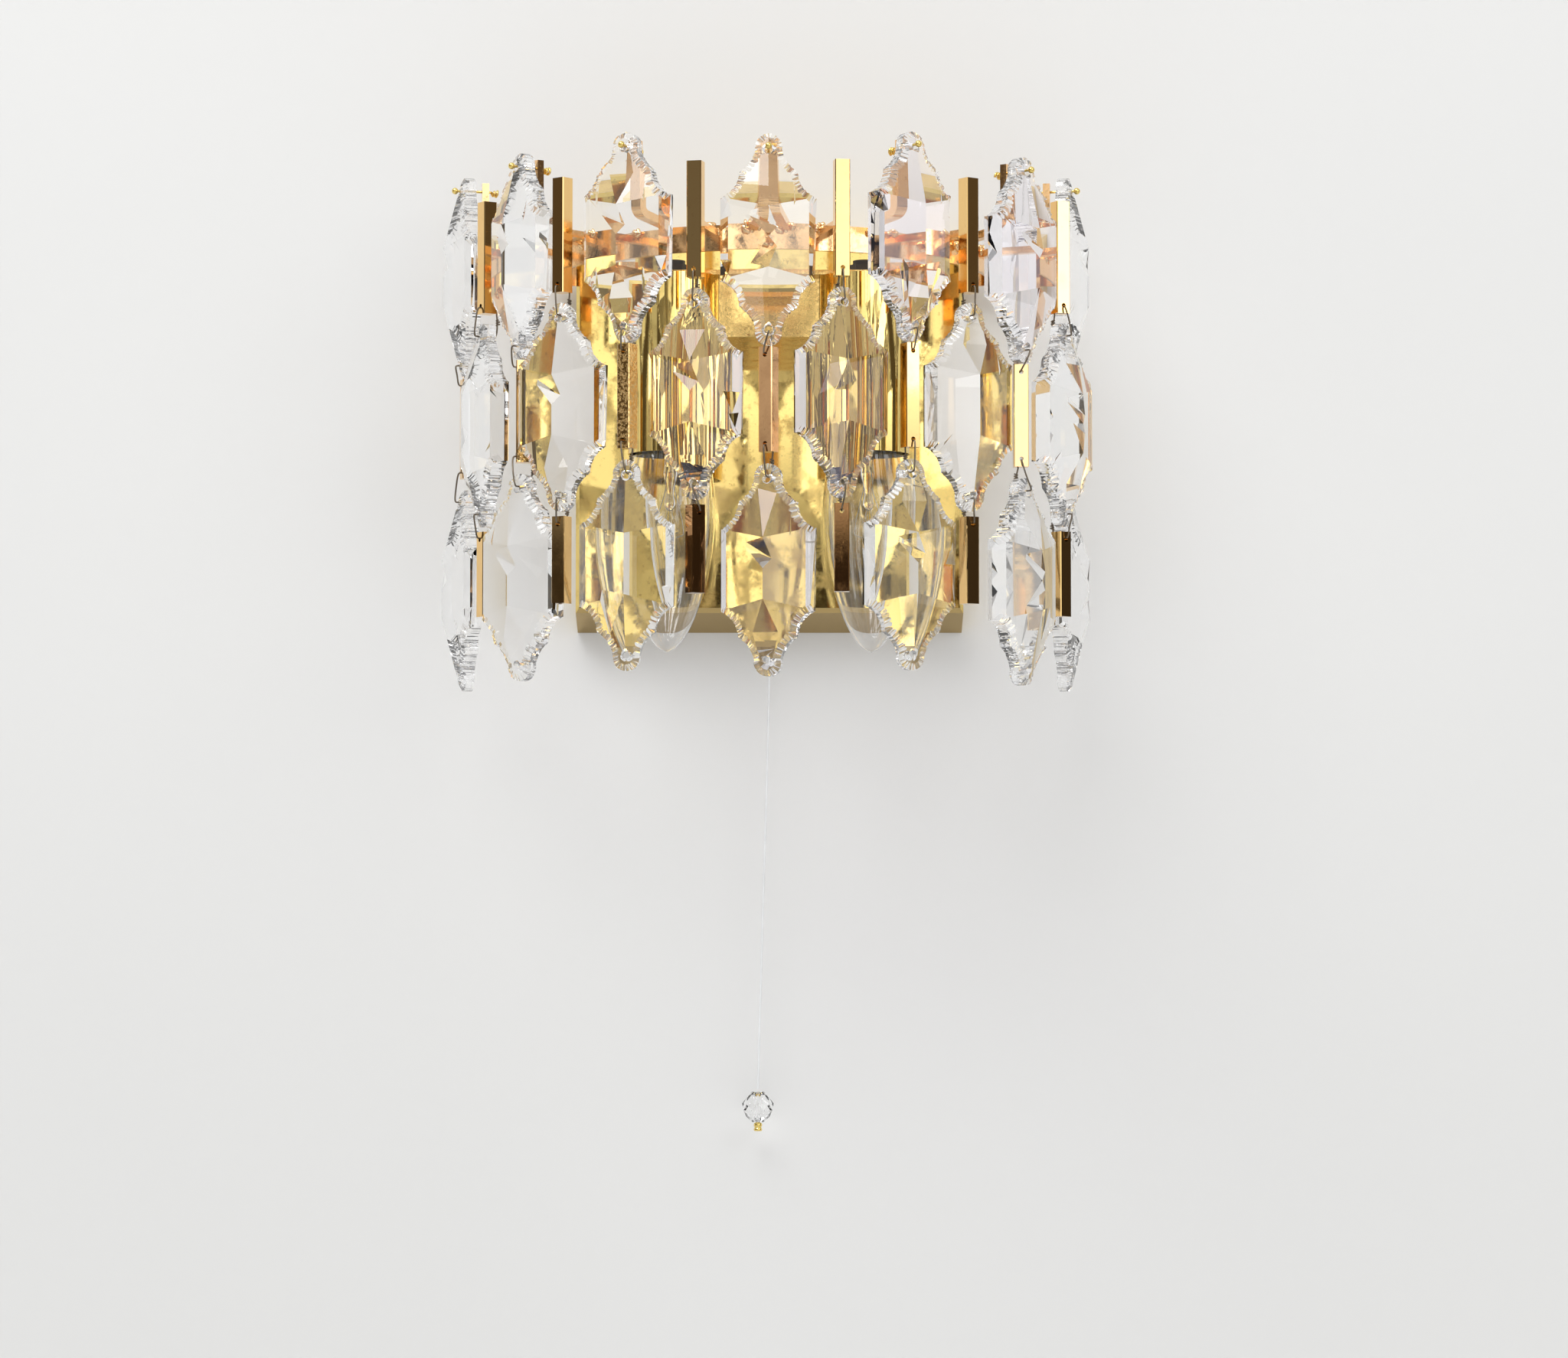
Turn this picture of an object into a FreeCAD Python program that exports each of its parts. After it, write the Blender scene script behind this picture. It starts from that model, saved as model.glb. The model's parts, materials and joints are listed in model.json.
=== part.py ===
import FreeCAD, Part
import math
import os

V = FreeCAD.Vector

# Crystal wall sconce, in millimetres. Z is up, the wall is the plane Y = 0 and the lamp faces -Y.
# Thirteen columns of cut crystals and square bars hang on a half-round band in front of a wall tray.
# A columns: crystal on a pin, bar, crystal. B columns: fixed bar, crystal, bar.

# Half-round layout
column_step = 13.7            # degrees from one column to the next
ring_centre_y = -22.0
crystal_back_r = 126.0        # flat back of every crystal, from the ring centre
bar_centre_r = 128.0

# Columns from left to right. place counts steps round the ring. lift and reach are how far the
# hand-bent arm goes up and out. turns are degrees about the hanging line, from the top piece down.
a_columns = [
    {"place": -6, "lift": -0.5, "reach": 5.0, "turns": (8, 8, 8)},
    {"place": -4, "lift": 1.0, "reach": 0.0, "turns": (2, -28, 23)},
    {"place": -2, "lift": 3.0, "reach": 0.0, "turns": (4, -7, 22)},
    {"place": 0, "lift": 0.0, "reach": 0.0, "turns": (0, -28, -12)},
    {"place": 2, "lift": 3.4, "reach": 0.0, "turns": (7, -3, -12)},
    {"place": 4.05, "lift": -0.8, "reach": 2.0, "turns": (-12, -53, -7)},
    {"place": 6, "lift": -0.5, "reach": 2.0, "turns": (-8, -8, -8)},
]
b_columns = [
    {"place": -5.1, "lift": -4.6, "reach": 2.0, "turns": (13, 6, 10)},
    {"place": -3.08, "lift": -2.4, "reach": 1.5, "turns": (3, 22, 13)},
    {"place": -1, "lift": 0.0, "reach": 0.0, "turns": (0, 2, 46)},
    {"place": 1, "lift": 0.6, "reach": 0.0, "turns": (-5, 1, -14)},
    {"place": 3, "lift": -2.6, "reach": 0.0, "turns": (-5, -19, -11)},
    {"place": 5.1, "lift": -4.6, "reach": 6.0, "turns": (-45, -16, -30)},
]

# Cut crystal
crystal_width = 40.0
crystal_height = 88.2
straight_side = 34.3
ridge_thickness = 13.5
ridge_half_length = 12.7
side_fall = 0.365             # fall of the middle facets per mm from the ridge
end_side_fall = 0.305
end_fall = 0.27               # fall of the end facets per mm towards the tip
bevel_edge_thickness = 2.2
bevel_fall = 1.6
lobe_r = 5.7
crystal_hole_r = 1.6
crystal_hole_inset = 6.7

# Square bars
bar_side = 6.3
bar_chamfer = 0.35
bar_hole_r = 1.0
bar_hole_inset = 3.3
upper_bar_length = 48.6
mid_bar_length = 43.6
low_bar_length = 36.6
upper_bar_top = 105.0

# Pins and wire loops
pin_z = 110.0
pin_r = 0.6
pin_head_r = 1.5
pin_tail_length = 5.0
wire_r = 0.4
wire_back_r = 123.4
bar_wire_front_r = 132.6       # where a loop turns in front of a bar
crystal_wire_front_r = 134.2   # and in front of a crystal's lobe
wire_bend_r = 1.0
wire_gap = 0.1                # between the two ends of a loop, behind
pin_turn_limit = 9.0          # degrees, as far as a pin can slant in its arm
hang_slack = 0.05
top_loop_height = 8.9         # top crystal to middle bar
low_loop_height = 13.1        # middle bar to low crystal
upper_bar_loop_height = 12.6  # upper bar to middle crystal
low_bar_loop_height = 10.4    # middle crystal to low bar

# Ring band and its arms
band_r = 97.0
band_thickness = 2.0
band_bottom = 72.0
band_height = 10.8
band_straight = 8.0
band_bend_r = 4.0
arm_width = 4.5
arm_thickness = 3.0
arm_leg_z = 79.6
arm_leg_rise = 4.6            # the leg climbs from the band to the upright
bar_arm_z = 78.0
arm_bend_r = 5.0
arm_outer_r = 122.4
arm_over_pin = 3.5
arm_hole_r = 0.9

# Wall tray
tray_half_width = 85.5
tray_depth = 22.0
tray_top = 97.0
tray_bottom = -82.0
tray_front_top = 91.0
tray_front_bottom = -74.0
tray_wall = 1.2
tray_bevel = 1.6
thread_hole_y = -11.0

# Lamp bridge, sleeves, holders and bulbs
sleeve_x = 41.0
sleeve_r = 19.5
sleeve_wall = 0.8
sleeve_y = ring_centre_y - 58.0
sleeve_top = 66.0
sleeve_bottom = -10.5
bridge_half_width = sleeve_x - sleeve_r
bridge_front_y = ring_centre_y - 60.0
bridge_bottom = 40.0
bridge_wall = 1.0
crossbar_half_length = 58.0
crossbar_half_depth = 9.0
crossbar_thickness = 2.0
nipple_r = 5.0
nipple_hole_r = 3.5
nut_across = 13.0
nut_height = 3.0
holder_r = 13.5
holder_wall = 1.4
holder_top = 63.0
holder_bottom = 12.0
cap_r = 7.0
cap_top = 40.0
shell_r = 7.6                 # threaded shell round the cap
shell_bottom = 22.0
bulb_neck_z = 13.5
bulb_tip_z = -95.6
bulb_r = 19.6
bulb_tilt = 1.2               # degrees, tips outwards, turned about the top of the cap

# Strap, screws, terminal block and pull switch behind the tray
strap_half_length = 78.0
strap_width = 24.0
strap_thickness = 2.0
strap_lug = 12.0
wall_screw_spacing = 88.0
wall_screw_hole_r = 2.5
cable_hole_r = 8.0
screw_r = 2.0
screw_head_r = 4.0
block_size = V(34.0, 12.0, 13.0)
block_gap = 0.3
switch_size = V(26.0, 17.0, 30.0)
bushing_r = 3.5
bushing_bore_r = 1.6

# Pull thread and bead
thread_r = 0.45
bead_r = 7.0
bead_bore_r = 0.9
crimp_r = 1.9
crimp_length = 3.6
bead_gap = 0.25
thread_route = [V(0, -11, -70), V(0, -11, -94), V(-0.6, -11.2, -124), V(-1.4, -11.5, -156),
                V(-2.5, -11.6, -190), V(-3.4, -11.4, -224), V(-4.4, -11.1, -256), V(-5.1, -11, -284)]
bead_centre = V(-5.1, -11, -292.0)


def box(low, high):
    return Part.makeBox(high.x - low.x, high.y - low.y, high.z - low.z, low)


def cylinder(radius, start, end):
    return Part.makeCylinder(radius, (end - start).Length, start, end - start)


def arc(start, middle, end):
    return Part.Arc(start, middle, end).toShape()


def line(start, end):
    return Part.LineSegment(start, end).toShape()


def prism(edges, direction):
    return Part.Face(Part.Wire(edges)).extrude(direction)


def rounded(corners, radii):
    """Edges of a closed outline whose corners are turned with tangent arcs; a radius of 0 stays sharp."""
    spans = []
    for i, corner in enumerate(corners):
        inward, onward = corner - corners[i - 1], corners[(i + 1) % len(corners)] - corner
        inward.normalize()
        onward.normalize()
        turn = inward.getAngle(onward)
        reach = radii[i] * math.tan(turn / 2)
        to_centre = (onward - inward).normalize()
        middle = corner + to_centre * (radii[i] / math.cos(turn / 2) - radii[i])
        spans.append((corner - inward * reach, middle, corner + onward * reach, radii[i]))
    edges = []
    for i, (first, middle, last, radius) in enumerate(spans):
        edges.append(line(spans[i - 1][2], first))
        if radius:
            edges.append(arc(first, middle, last))
    return edges


def cut_above(shape, point, normal):
    """Remove what lies beyond a plane on the side its normal points to."""
    slab = Part.makeBox(300, 300, 60, V(-150, -150, 0))
    slab.Placement = FreeCAD.Placement(point, FreeCAD.Rotation(V(0, 0, 1), normal))
    return shape.cut(slab)


def turned(shape, own_turn):
    """Turn a piece about its hanging line."""
    piece = shape.copy()
    piece.rotate(V(0, -bar_centre_r, 0), V(0, 0, 1), own_turn)
    return piece


def on_ring(shape, column):
    """Turn a shape made at the front of the ring to its column."""
    placed = shape.copy()
    placed.rotate(V(0, 0, 0), V(0, 0, 1), column["place"] * column_step)
    placed.translate(V(0, ring_centre_y, 0))
    return placed


def on_column(shape, column, own_turn):
    """Hang a piece on its column: turned about its hanging line, then up, out and round the ring."""
    piece = turned(shape, own_turn)
    piece.translate(V(0, -column["reach"], column["lift"]))
    return on_ring(piece, column)


def pin_turn(column):
    """The pin follows the turn of its crystal as far as the arm lets it."""
    return max(-pin_turn_limit, min(pin_turn_limit, column["turns"][0]))


def raised(shape, height):
    moved = shape.copy()
    moved.translate(V(0, 0, height))
    return moved


# ---- Cut crystal, made at the origin with its flat back on Y = 0 ----

def crystal_outline():
    """Straight sides, two scallops on each shoulder and a round lobe at each end."""
    half_w = crystal_width / 2
    corner_z = straight_side / 2
    tip_z = crystal_height / 2
    lobe_z = tip_z - lobe_r
    cusp = (12.3, corner_z + 10.8)
    scallops = [((half_w, corner_z), (14.4, corner_z + 4.1), cusp),
                (cusp, (8.1, corner_z + 14.5), (lobe_r, lobe_z - 1.6))]
    edges = []
    for up in (1, -1):
        for side in (1, -1):
            for start, middle, end in scallops:
                edges.append(arc(*[V(side * x, 0, up * z) for x, z in (start, middle, end)]))
            edges.append(line(V(side * lobe_r, 0, up * (lobe_z - 1.6)), V(side * lobe_r, 0, up * lobe_z)))
        edges.append(arc(V(lobe_r, 0, up * lobe_z), V(0, 0, up * tip_z), V(-lobe_r, 0, up * lobe_z)))
    for side in (1, -1):
        edges.append(line(V(side * half_w, 0, -corner_z), V(side * half_w, 0, corner_z)))
    return Part.__sortEdges__(edges)


def make_crystal():
    body = prism(crystal_outline(), V(0, -ridge_thickness, 0))
    for side in (1, -1):
        body = cut_above(body, V(0, -ridge_thickness, 0), V(side * side_fall, -1, 0))
        edge = V(side * crystal_width / 2, -bevel_edge_thickness, 0)
        body = cut_above(body, edge, V(side * bevel_fall, -1, 0))
        for up in (1, -1):
            ridge_end = V(0, -ridge_thickness, up * ridge_half_length)
            body = cut_above(body, ridge_end, V(side * end_side_fall, -1, up * end_fall))
    for up in (1, -1):
        hole_z = up * (crystal_height / 2 - crystal_hole_inset)
        body = body.cut(cylinder(crystal_hole_r, V(0, 1, hole_z), V(0, -ridge_thickness - 1, hole_z)))
    body.translate(V(0, -crystal_back_r, 0))
    return body


# ---- Square bar, made on its own centre line with its top at Z = 0 ----

def make_bar(length, hole_depths):
    half = bar_side / 2
    body = box(V(-half, -half, -length), V(half, half, 0))
    upright = [e for e in body.Edges if abs(e.Vertexes[0].Z - e.Vertexes[1].Z) > length / 2]
    body = body.makeChamfer(bar_chamfer, upright)
    for depth in hole_depths:
        body = body.cut(cylinder(bar_hole_r, V(0, half + 1, -depth), V(0, -half - 1, -depth)))
    body.translate(V(0, -bar_centre_r, 0))
    return body


# ---- Wire loop with its lower run at Z = 0, each run turned like the piece that it goes through ----

def on_run(radius, own_turn, z):
    out = radius - bar_centre_r
    angle = math.radians(own_turn)
    return V(out * math.sin(angle), -bar_centre_r - out * math.cos(angle), z)


def make_loop(height, low_front_r, low_turn, high_front_r, high_turn):
    corners = [on_run(wire_back_r, low_turn, 0), on_run(low_front_r, low_turn, 0),
               on_run(high_front_r, high_turn, height), on_run(wire_back_r, high_turn, height)]
    edges = rounded(corners, [wire_bend_r] * 4)
    high_end, low_end = [vertex.Point for vertex in edges[0].Vertexes]
    down = (low_end - high_end).normalize()
    middle = (high_end + low_end) * 0.5
    first, last = middle + down * (wire_gap / 2), middle - down * (wire_gap / 2)
    path = Part.Wire([line(first, low_end)] + edges[1:] + [line(high_end, last)])
    section = Part.Wire([Part.makeCircle(wire_r, first, down)])
    return path.makePipeShell([section], True, False)


def two_loops(high, high_z, low, low_z):
    return Part.makeCompound([raised(high, high_z), raised(low, low_z)])


# ---- Heights down each kind of column ----

def wire_drop_in(hole_r):
    """How far a hanging wire sits from the centre of the hole that it pulls on."""
    return hole_r - wire_r - hang_slack


def a_heights():
    """Heights in an A column: hole centres, wire runs and tops of the pieces."""
    hole_to_hole = crystal_height - 2 * crystal_hole_inset
    top_hole = pin_z - (crystal_hole_r - pin_r - hang_slack)
    found = {"top_centre": top_hole - hole_to_hole / 2}
    found["bar_pivot"] = top_hole - hole_to_hole - wire_drop_in(crystal_hole_r)
    found["loop_1"] = found["bar_pivot"] - top_loop_height
    bar_hole = found["loop_1"] - wire_drop_in(bar_hole_r)
    found["bar_top"] = bar_hole + bar_hole_inset
    low_bar_hole = found["bar_top"] - mid_bar_length + bar_hole_inset
    found["loop_2"] = low_bar_hole - wire_drop_in(bar_hole_r) - low_loop_height
    low_hole = found["loop_2"] - wire_drop_in(crystal_hole_r)
    found["low_centre"] = low_hole - hole_to_hole / 2
    return found


def b_heights():
    """Heights in a B column, from the fixed bar down."""
    hole_to_hole = crystal_height - 2 * crystal_hole_inset
    bar_hole = upper_bar_top - upper_bar_length + bar_hole_inset
    found = {"crystal_pivot": bar_hole - wire_drop_in(bar_hole_r)}
    found["loop_1"] = found["crystal_pivot"] - upper_bar_loop_height
    top_hole = found["loop_1"] - wire_drop_in(crystal_hole_r)
    found["centre"] = top_hole - hole_to_hole / 2
    low_run = top_hole - hole_to_hole - wire_drop_in(crystal_hole_r)
    found["loop_2"] = low_run - low_bar_loop_height
    found["bar_top"] = found["loop_2"] - wire_drop_in(bar_hole_r) + bar_hole_inset
    return found


# ---- Ring band with its arms ----

def make_band():
    """Half-round strip whose ends run back and turn in to the sides of the tray."""
    outer, inner = band_r + band_thickness / 2, band_r - band_thickness / 2
    bend_y = band_straight
    ear_out, ear_in = band_bend_r + band_thickness / 2, band_bend_r - band_thickness / 2
    centre_x = band_r - band_bend_r
    end_x = tray_half_width
    half = math.sqrt(0.5)
    edges = [arc(V(-outer, 0, 0), V(0, -outer, 0), V(outer, 0, 0)),
             arc(V(-inner, 0, 0), V(0, -inner, 0), V(inner, 0, 0))]
    for side in (1, -1):
        for radius, ear_r in ((outer, ear_out), (inner, ear_in)):
            edges.append(line(V(side * radius, 0, 0), V(side * radius, bend_y, 0)))
            bend_mid = V(side * (centre_x + ear_r * half), bend_y + ear_r * half, 0)
            edges.append(arc(V(side * radius, bend_y, 0), bend_mid, V(side * centre_x, bend_y + ear_r, 0)))
            edges.append(line(V(side * centre_x, bend_y + ear_r, 0), V(side * end_x, bend_y + ear_r, 0)))
        edges.append(line(V(side * end_x, bend_y + ear_in, 0), V(side * end_x, bend_y + ear_out, 0)))
    band = prism(Part.__sortEdges__(edges), V(0, 0, band_height))
    band.translate(V(0, ring_centre_y, band_bottom))
    return band


def make_crystal_arm(column):
    """Leg that climbs from the band and turns up into an upright with a hole in line with the pin."""
    outer = -arm_outer_r - column["reach"]
    inner = outer + arm_thickness
    start = -band_r - band_thickness / 2
    foot, knee = arm_leg_z, arm_leg_z + arm_leg_rise
    hole_z = pin_z + column["lift"]
    top = hole_z + arm_over_pin
    corners = [V(0, start, foot), V(0, outer, knee), V(0, outer, top), V(0, inner, top),
               V(0, inner, knee + arm_thickness), V(0, start, foot + arm_thickness)]
    radii = [0, arm_bend_r, 0, 0, arm_bend_r - arm_thickness, 0]
    arm = prism(rounded(corners, radii), V(arm_width, 0, 0))
    arm.translate(V(-arm_width / 2, 0, 0))
    hole = cylinder(arm_hole_r, V(0, inner + 1, hole_z), V(0, outer - 1, hole_z))
    hole.rotate(V(0, -bar_centre_r - column["reach"], 0), V(0, 0, 1), pin_turn(column))
    return on_ring(arm.cut(hole), column)


def make_bar_arm(column, bar):
    """Straight strip from the band to the back of a fixed bar, which may stand turned."""
    end = -bar_centre_r - column["reach"] + bar_side / 4
    start = -band_r - band_thickness / 2
    arm = box(V(-arm_width / 2, end, bar_arm_z), V(arm_width / 2, start, bar_arm_z + arm_thickness))
    return on_ring(arm, column).cut(bar)


def make_ring_frame(bars):
    pieces = [make_band()]
    pieces += [make_crystal_arm(column) for column in a_columns]
    pieces += [make_bar_arm(column, bar) for column, bar in zip(b_columns, bars)]
    return Part.makeCompound(pieces)


# ---- Pin with a ball head and a tail turned down behind the arm ----

def make_pin():
    tip_hole_z = crystal_height / 2 - crystal_hole_inset
    face = ridge_thickness - end_fall * (tip_hole_z - ridge_half_length)
    head_y = -(crystal_back_r + face + pin_head_r)
    back = -(arm_outer_r - arm_thickness) + 1.2 * pin_r
    shaft = cylinder(pin_r, V(0, head_y, pin_z), V(0, back, pin_z))
    head = Part.makeSphere(pin_head_r, V(0, head_y, pin_z))
    knee = Part.makeSphere(pin_r, V(0, back, pin_z))
    tail = cylinder(pin_r, V(0, back, pin_z), V(0, back + 0.6, pin_z - pin_tail_length))
    return shaft.fuse([head, knee, tail]).removeSplitter()


# ---- Wall tray ----

def pan_block(grow):
    """Solid pan with tapered top and bottom; a negative grow gives the hollow."""
    half = tray_half_width + grow
    section = [V(0, 0, tray_bottom - grow), V(0, -tray_depth - grow, tray_front_bottom - grow),
               V(0, -tray_depth - grow, tray_front_top + grow), V(0, 0, tray_top + grow)]
    if grow < 0:
        section[0] = V(0, 1, tray_bottom - grow)
        section[3] = V(0, 1, tray_top + grow)
    edges = [line(section[i], section[(i + 1) % 4]) for i in range(4)]
    block = prism(edges, V(2 * half, 0, 0))
    block.translate(V(-half, 0, 0))
    return block


def make_tray():
    shell = pan_block(0)
    rim = [e for e in shell.Edges if all(abs(v.Y + tray_depth) < 0.01 for v in e.Vertexes)]
    shell = shell.makeChamfer(tray_bevel, rim)
    shell = shell.cut(pan_block(-tray_wall))
    thread_hole = cylinder(bushing_r, V(0, thread_hole_y, -60), V(0, thread_hole_y, -90))
    shell = shell.cut(thread_hole)
    wiring_hole = cylinder(6.0, V(0, -tray_depth - 2, 53), V(0, -tray_depth + 4, 53))
    shell = shell.cut(wiring_hole)
    side_hole = cylinder(screw_r + 0.2, V(-100, side_screw_y(), 0), V(100, side_screw_y(), 0))
    return shell.cut(side_hole)


def side_screw_y():
    return -strap_thickness - strap_lug / 2


# ---- Lamp bridge: a box from the tray with a crossbar that carries both lamps ----

def make_bridge():
    half = bridge_half_width
    back = ring_centre_y
    outer = box(V(-half, bridge_front_y, bridge_bottom), V(half, back, sleeve_top))
    hollow = box(V(-half + bridge_wall, bridge_front_y + bridge_wall, bridge_bottom + bridge_wall),
                 V(half - bridge_wall, back + 1, sleeve_top - bridge_wall))
    case = outer.cut(hollow)
    bar = box(V(-crossbar_half_length, sleeve_y - crossbar_half_depth, sleeve_top),
              V(crossbar_half_length, sleeve_y + crossbar_half_depth, sleeve_top + crossbar_thickness))
    case = case.fuse(bar).removeSplitter()
    for side in (1, -1):
        x = side * sleeve_x
        case = case.cut(cylinder(nipple_r + 0.1, V(x, sleeve_y, sleeve_top - 5),
                                 V(x, sleeve_y, sleeve_top + 5)))
        wire_way = cylinder(3.0, V(side * (half - 4), sleeve_y + 8, sleeve_top - 3),
                            V(side * (half - 4), sleeve_y + 8, sleeve_top + 5))
        case = case.cut(wire_way)
    return case


# ---- Two sleeves, holders and bulbs ----

def both_sides(make):
    """The lamp on the right and its mirror image on the left."""
    right = make()
    left = right.mirror(V(0, 0, 0), V(1, 0, 0))
    return Part.makeCompound([right, left])


def at_sleeve(z):
    return V(sleeve_x, sleeve_y, z)


def make_sleeve():
    tube = cylinder(sleeve_r, at_sleeve(sleeve_bottom), at_sleeve(sleeve_top))
    tube = tube.cut(cylinder(sleeve_r - sleeve_wall, at_sleeve(sleeve_bottom - 1),
                             at_sleeve(sleeve_top - 1.0)))
    return tube.cut(cylinder(nipple_r + 0.1, at_sleeve(sleeve_top - 5), at_sleeve(sleeve_top + 1)))


def make_holder():
    """Candle lampholder on its threaded nipple, with the nut that clamps it under the crossbar."""
    body = cylinder(holder_r, at_sleeve(holder_bottom), at_sleeve(holder_top))
    body = body.cut(cylinder(holder_r - holder_wall, at_sleeve(holder_bottom - 1), at_sleeve(shell_bottom)))
    body = body.cut(cylinder(shell_r, at_sleeve(shell_bottom - 1), at_sleeve(cap_top + 0.4)))
    nipple = cylinder(nipple_r, at_sleeve(holder_top - 1), at_sleeve(sleeve_top + 7))
    collar = cylinder(nipple_r + 2, at_sleeve(holder_top - 1), at_sleeve(sleeve_top - 1.0))
    corners = [V(nut_across / math.sqrt(3) * math.cos(a), nut_across / math.sqrt(3) * math.sin(a), 0)
               for a in [math.radians(60 * i) for i in range(7)]]
    nut = Part.Face(Part.makePolygon(corners)).extrude(V(0, 0, nut_height))
    nut.translate(at_sleeve(sleeve_top + crossbar_thickness))
    whole = body.fuse([nipple, collar, nut]).removeSplitter()
    return whole.cut(cylinder(nipple_hole_r, at_sleeve(cap_top + 8), at_sleeve(sleeve_top + 8)))


def bulb_profile():
    """Half outline of the glass as (radius, height), from the neck to the tip."""
    return [(8.6, bulb_neck_z), (12.0, bulb_neck_z - 9.0), (15.4, bulb_neck_z - 20.0),
            (18.4, bulb_neck_z - 34.0), (bulb_r, bulb_neck_z - 50.0), (18.4, bulb_neck_z - 69.0),
            (14.6, bulb_neck_z - 86.0), (9.6, bulb_neck_z - 99.0), (4.6, bulb_neck_z - 106.5),
            (0.0, bulb_tip_z)]


def make_bulb():
    """Clear candle bulb: solid glass outline and its screw cap, tip down and a little outwards."""
    points = [V(r, 0, z) for r, z in bulb_profile()]
    curve = Part.BSplineCurve()
    curve.interpolate(points)
    axis_top, axis_tip = V(0, 0, bulb_neck_z), V(0, 0, bulb_tip_z)
    edges = [line(axis_top, points[0]), curve.toShape(), line(axis_tip, axis_top)]
    glass = Part.Face(Part.Wire(edges)).revolve(V(0, 0, 0), V(0, 0, 1), 360)
    cap = cylinder(cap_r, V(0, 0, bulb_neck_z), V(0, 0, cap_top - 3))
    foot = cylinder(cap_r - 2.2, V(0, 0, cap_top - 3), V(0, 0, cap_top))
    bulb = glass.fuse([cap, foot]).removeSplitter()
    bulb.rotate(V(0, 0, cap_top), V(0, 1, 0), -bulb_tilt)
    bulb.translate(V(sleeve_x, sleeve_y, 0))
    return bulb


# ---- Behind the tray ----

def make_strap():
    """Flat strap on the wall with a lug at each end inside the tray's sides."""
    half, wide = strap_half_length, strap_width / 2
    lug_x = tray_half_width - tray_wall - 0.3
    strap = box(V(-lug_x, -strap_thickness, -wide), V(lug_x, 0, wide))
    for side in (1, -1):
        inner, outer = sorted((side * (lug_x - strap_thickness), side * lug_x))
        strap = strap.fuse(box(V(inner, -strap_thickness - strap_lug, -wide), V(outer, 0, wide)))
        spot = side * wall_screw_spacing / 2
        strap = strap.cut(cylinder(wall_screw_hole_r, V(spot, 1, 0), V(spot, -10, 0)))
    strap = strap.cut(cylinder(cable_hole_r, V(0, 1, 0), V(0, -10, 0)))
    tapped = cylinder(screw_r, V(-half - 20, side_screw_y(), 0), V(half + 20, side_screw_y(), 0))
    return strap.cut(tapped).removeSplitter()


def make_screws():
    """Two side screws through the tray into the lugs of the strap."""
    screws = []
    for side in (1, -1):
        face = side * tray_half_width
        y = side_screw_y()
        end = side * (tray_half_width - 8)
        shank = cylinder(screw_r, V(face, y, 0), V(end, y, 0))
        head = cylinder(screw_head_r, V(face, y, 0), V(face + side * 2.0, y, 0))
        screws.append(shank.fuse(head))
    return Part.makeCompound(screws)


def make_terminal_block():
    """Three-pole block on the strap, under the cable hole."""
    low = V(-block_size.x / 2, -strap_thickness - block_gap - block_size.y, 14.0)
    block = box(low, low + block_size)
    foot = box(V(-4, -strap_thickness - block_gap, 14.0), V(4, 0, 14.0 + block_size.z))
    for pole in (-1, 0, 1):
        x = pole * block_size.x / 3
        middle = low.y + block_size.y / 2
        block = block.cut(cylinder(2.0, V(x, middle, 10), V(x, middle, 40)))
        block = block.cut(cylinder(1.8, V(x, low.y - 1, 20.5), V(x, middle, 20.5)))
    return block.fuse(foot)


def make_pull_switch():
    """Cord switch inside the tray, with its bushing through the tapered bottom."""
    low = V(-switch_size.x / 2, thread_hole_y - switch_size.y / 2, -70.0)
    body = box(low, low + switch_size)
    neck = cylinder(bushing_r - 0.1, V(0, thread_hole_y, -70), V(0, thread_hole_y, -84))
    whole = body.fuse(neck).removeSplitter()
    way = cylinder(bushing_bore_r, V(0, thread_hole_y, -60), V(0, thread_hole_y, -90))
    return whole.cut(way)


# ---- Pull thread and bead ----

def thread_path(route):
    """Straight runs joined by tangent arcs, each as large as its two runs allow."""
    edges = []
    start = route[0]
    for before, corner, after in zip(route, route[1:], route[2:]):
        inward, onward = (corner - before), (after - corner)
        shorter = min(inward.Length, onward.Length)
        turn = inward.getAngle(onward)
        reach = 0.45 * shorter
        radius = reach / math.tan(turn / 2)
        print("thread turn %.2f degrees, radius %.0f mm" % (math.degrees(turn), radius))
        inward.normalize()
        onward.normalize()
        first, last = corner - inward * reach, corner + onward * reach
        to_centre = onward - inward
        to_centre.normalize()
        middle = corner + to_centre * (radius / math.cos(turn / 2) - radius)
        edges.append(line(start, first))
        edges.append(arc(first, middle, last))
        start = last
    edges.append(line(start, route[-1]))
    return Part.Wire(edges)


def make_thread():
    path = thread_path(thread_route)
    section = Part.Wire([Part.makeCircle(thread_r, thread_route[0], thread_route[1] - thread_route[0])])
    tube = path.makePipeShell([section], True, True)
    share = tube.Volume / (math.pi * thread_r ** 2 * path.Length)
    print("thread length %.1f mm, volume over section x length %.4f" % (path.Length, share))
    return tube


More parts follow.
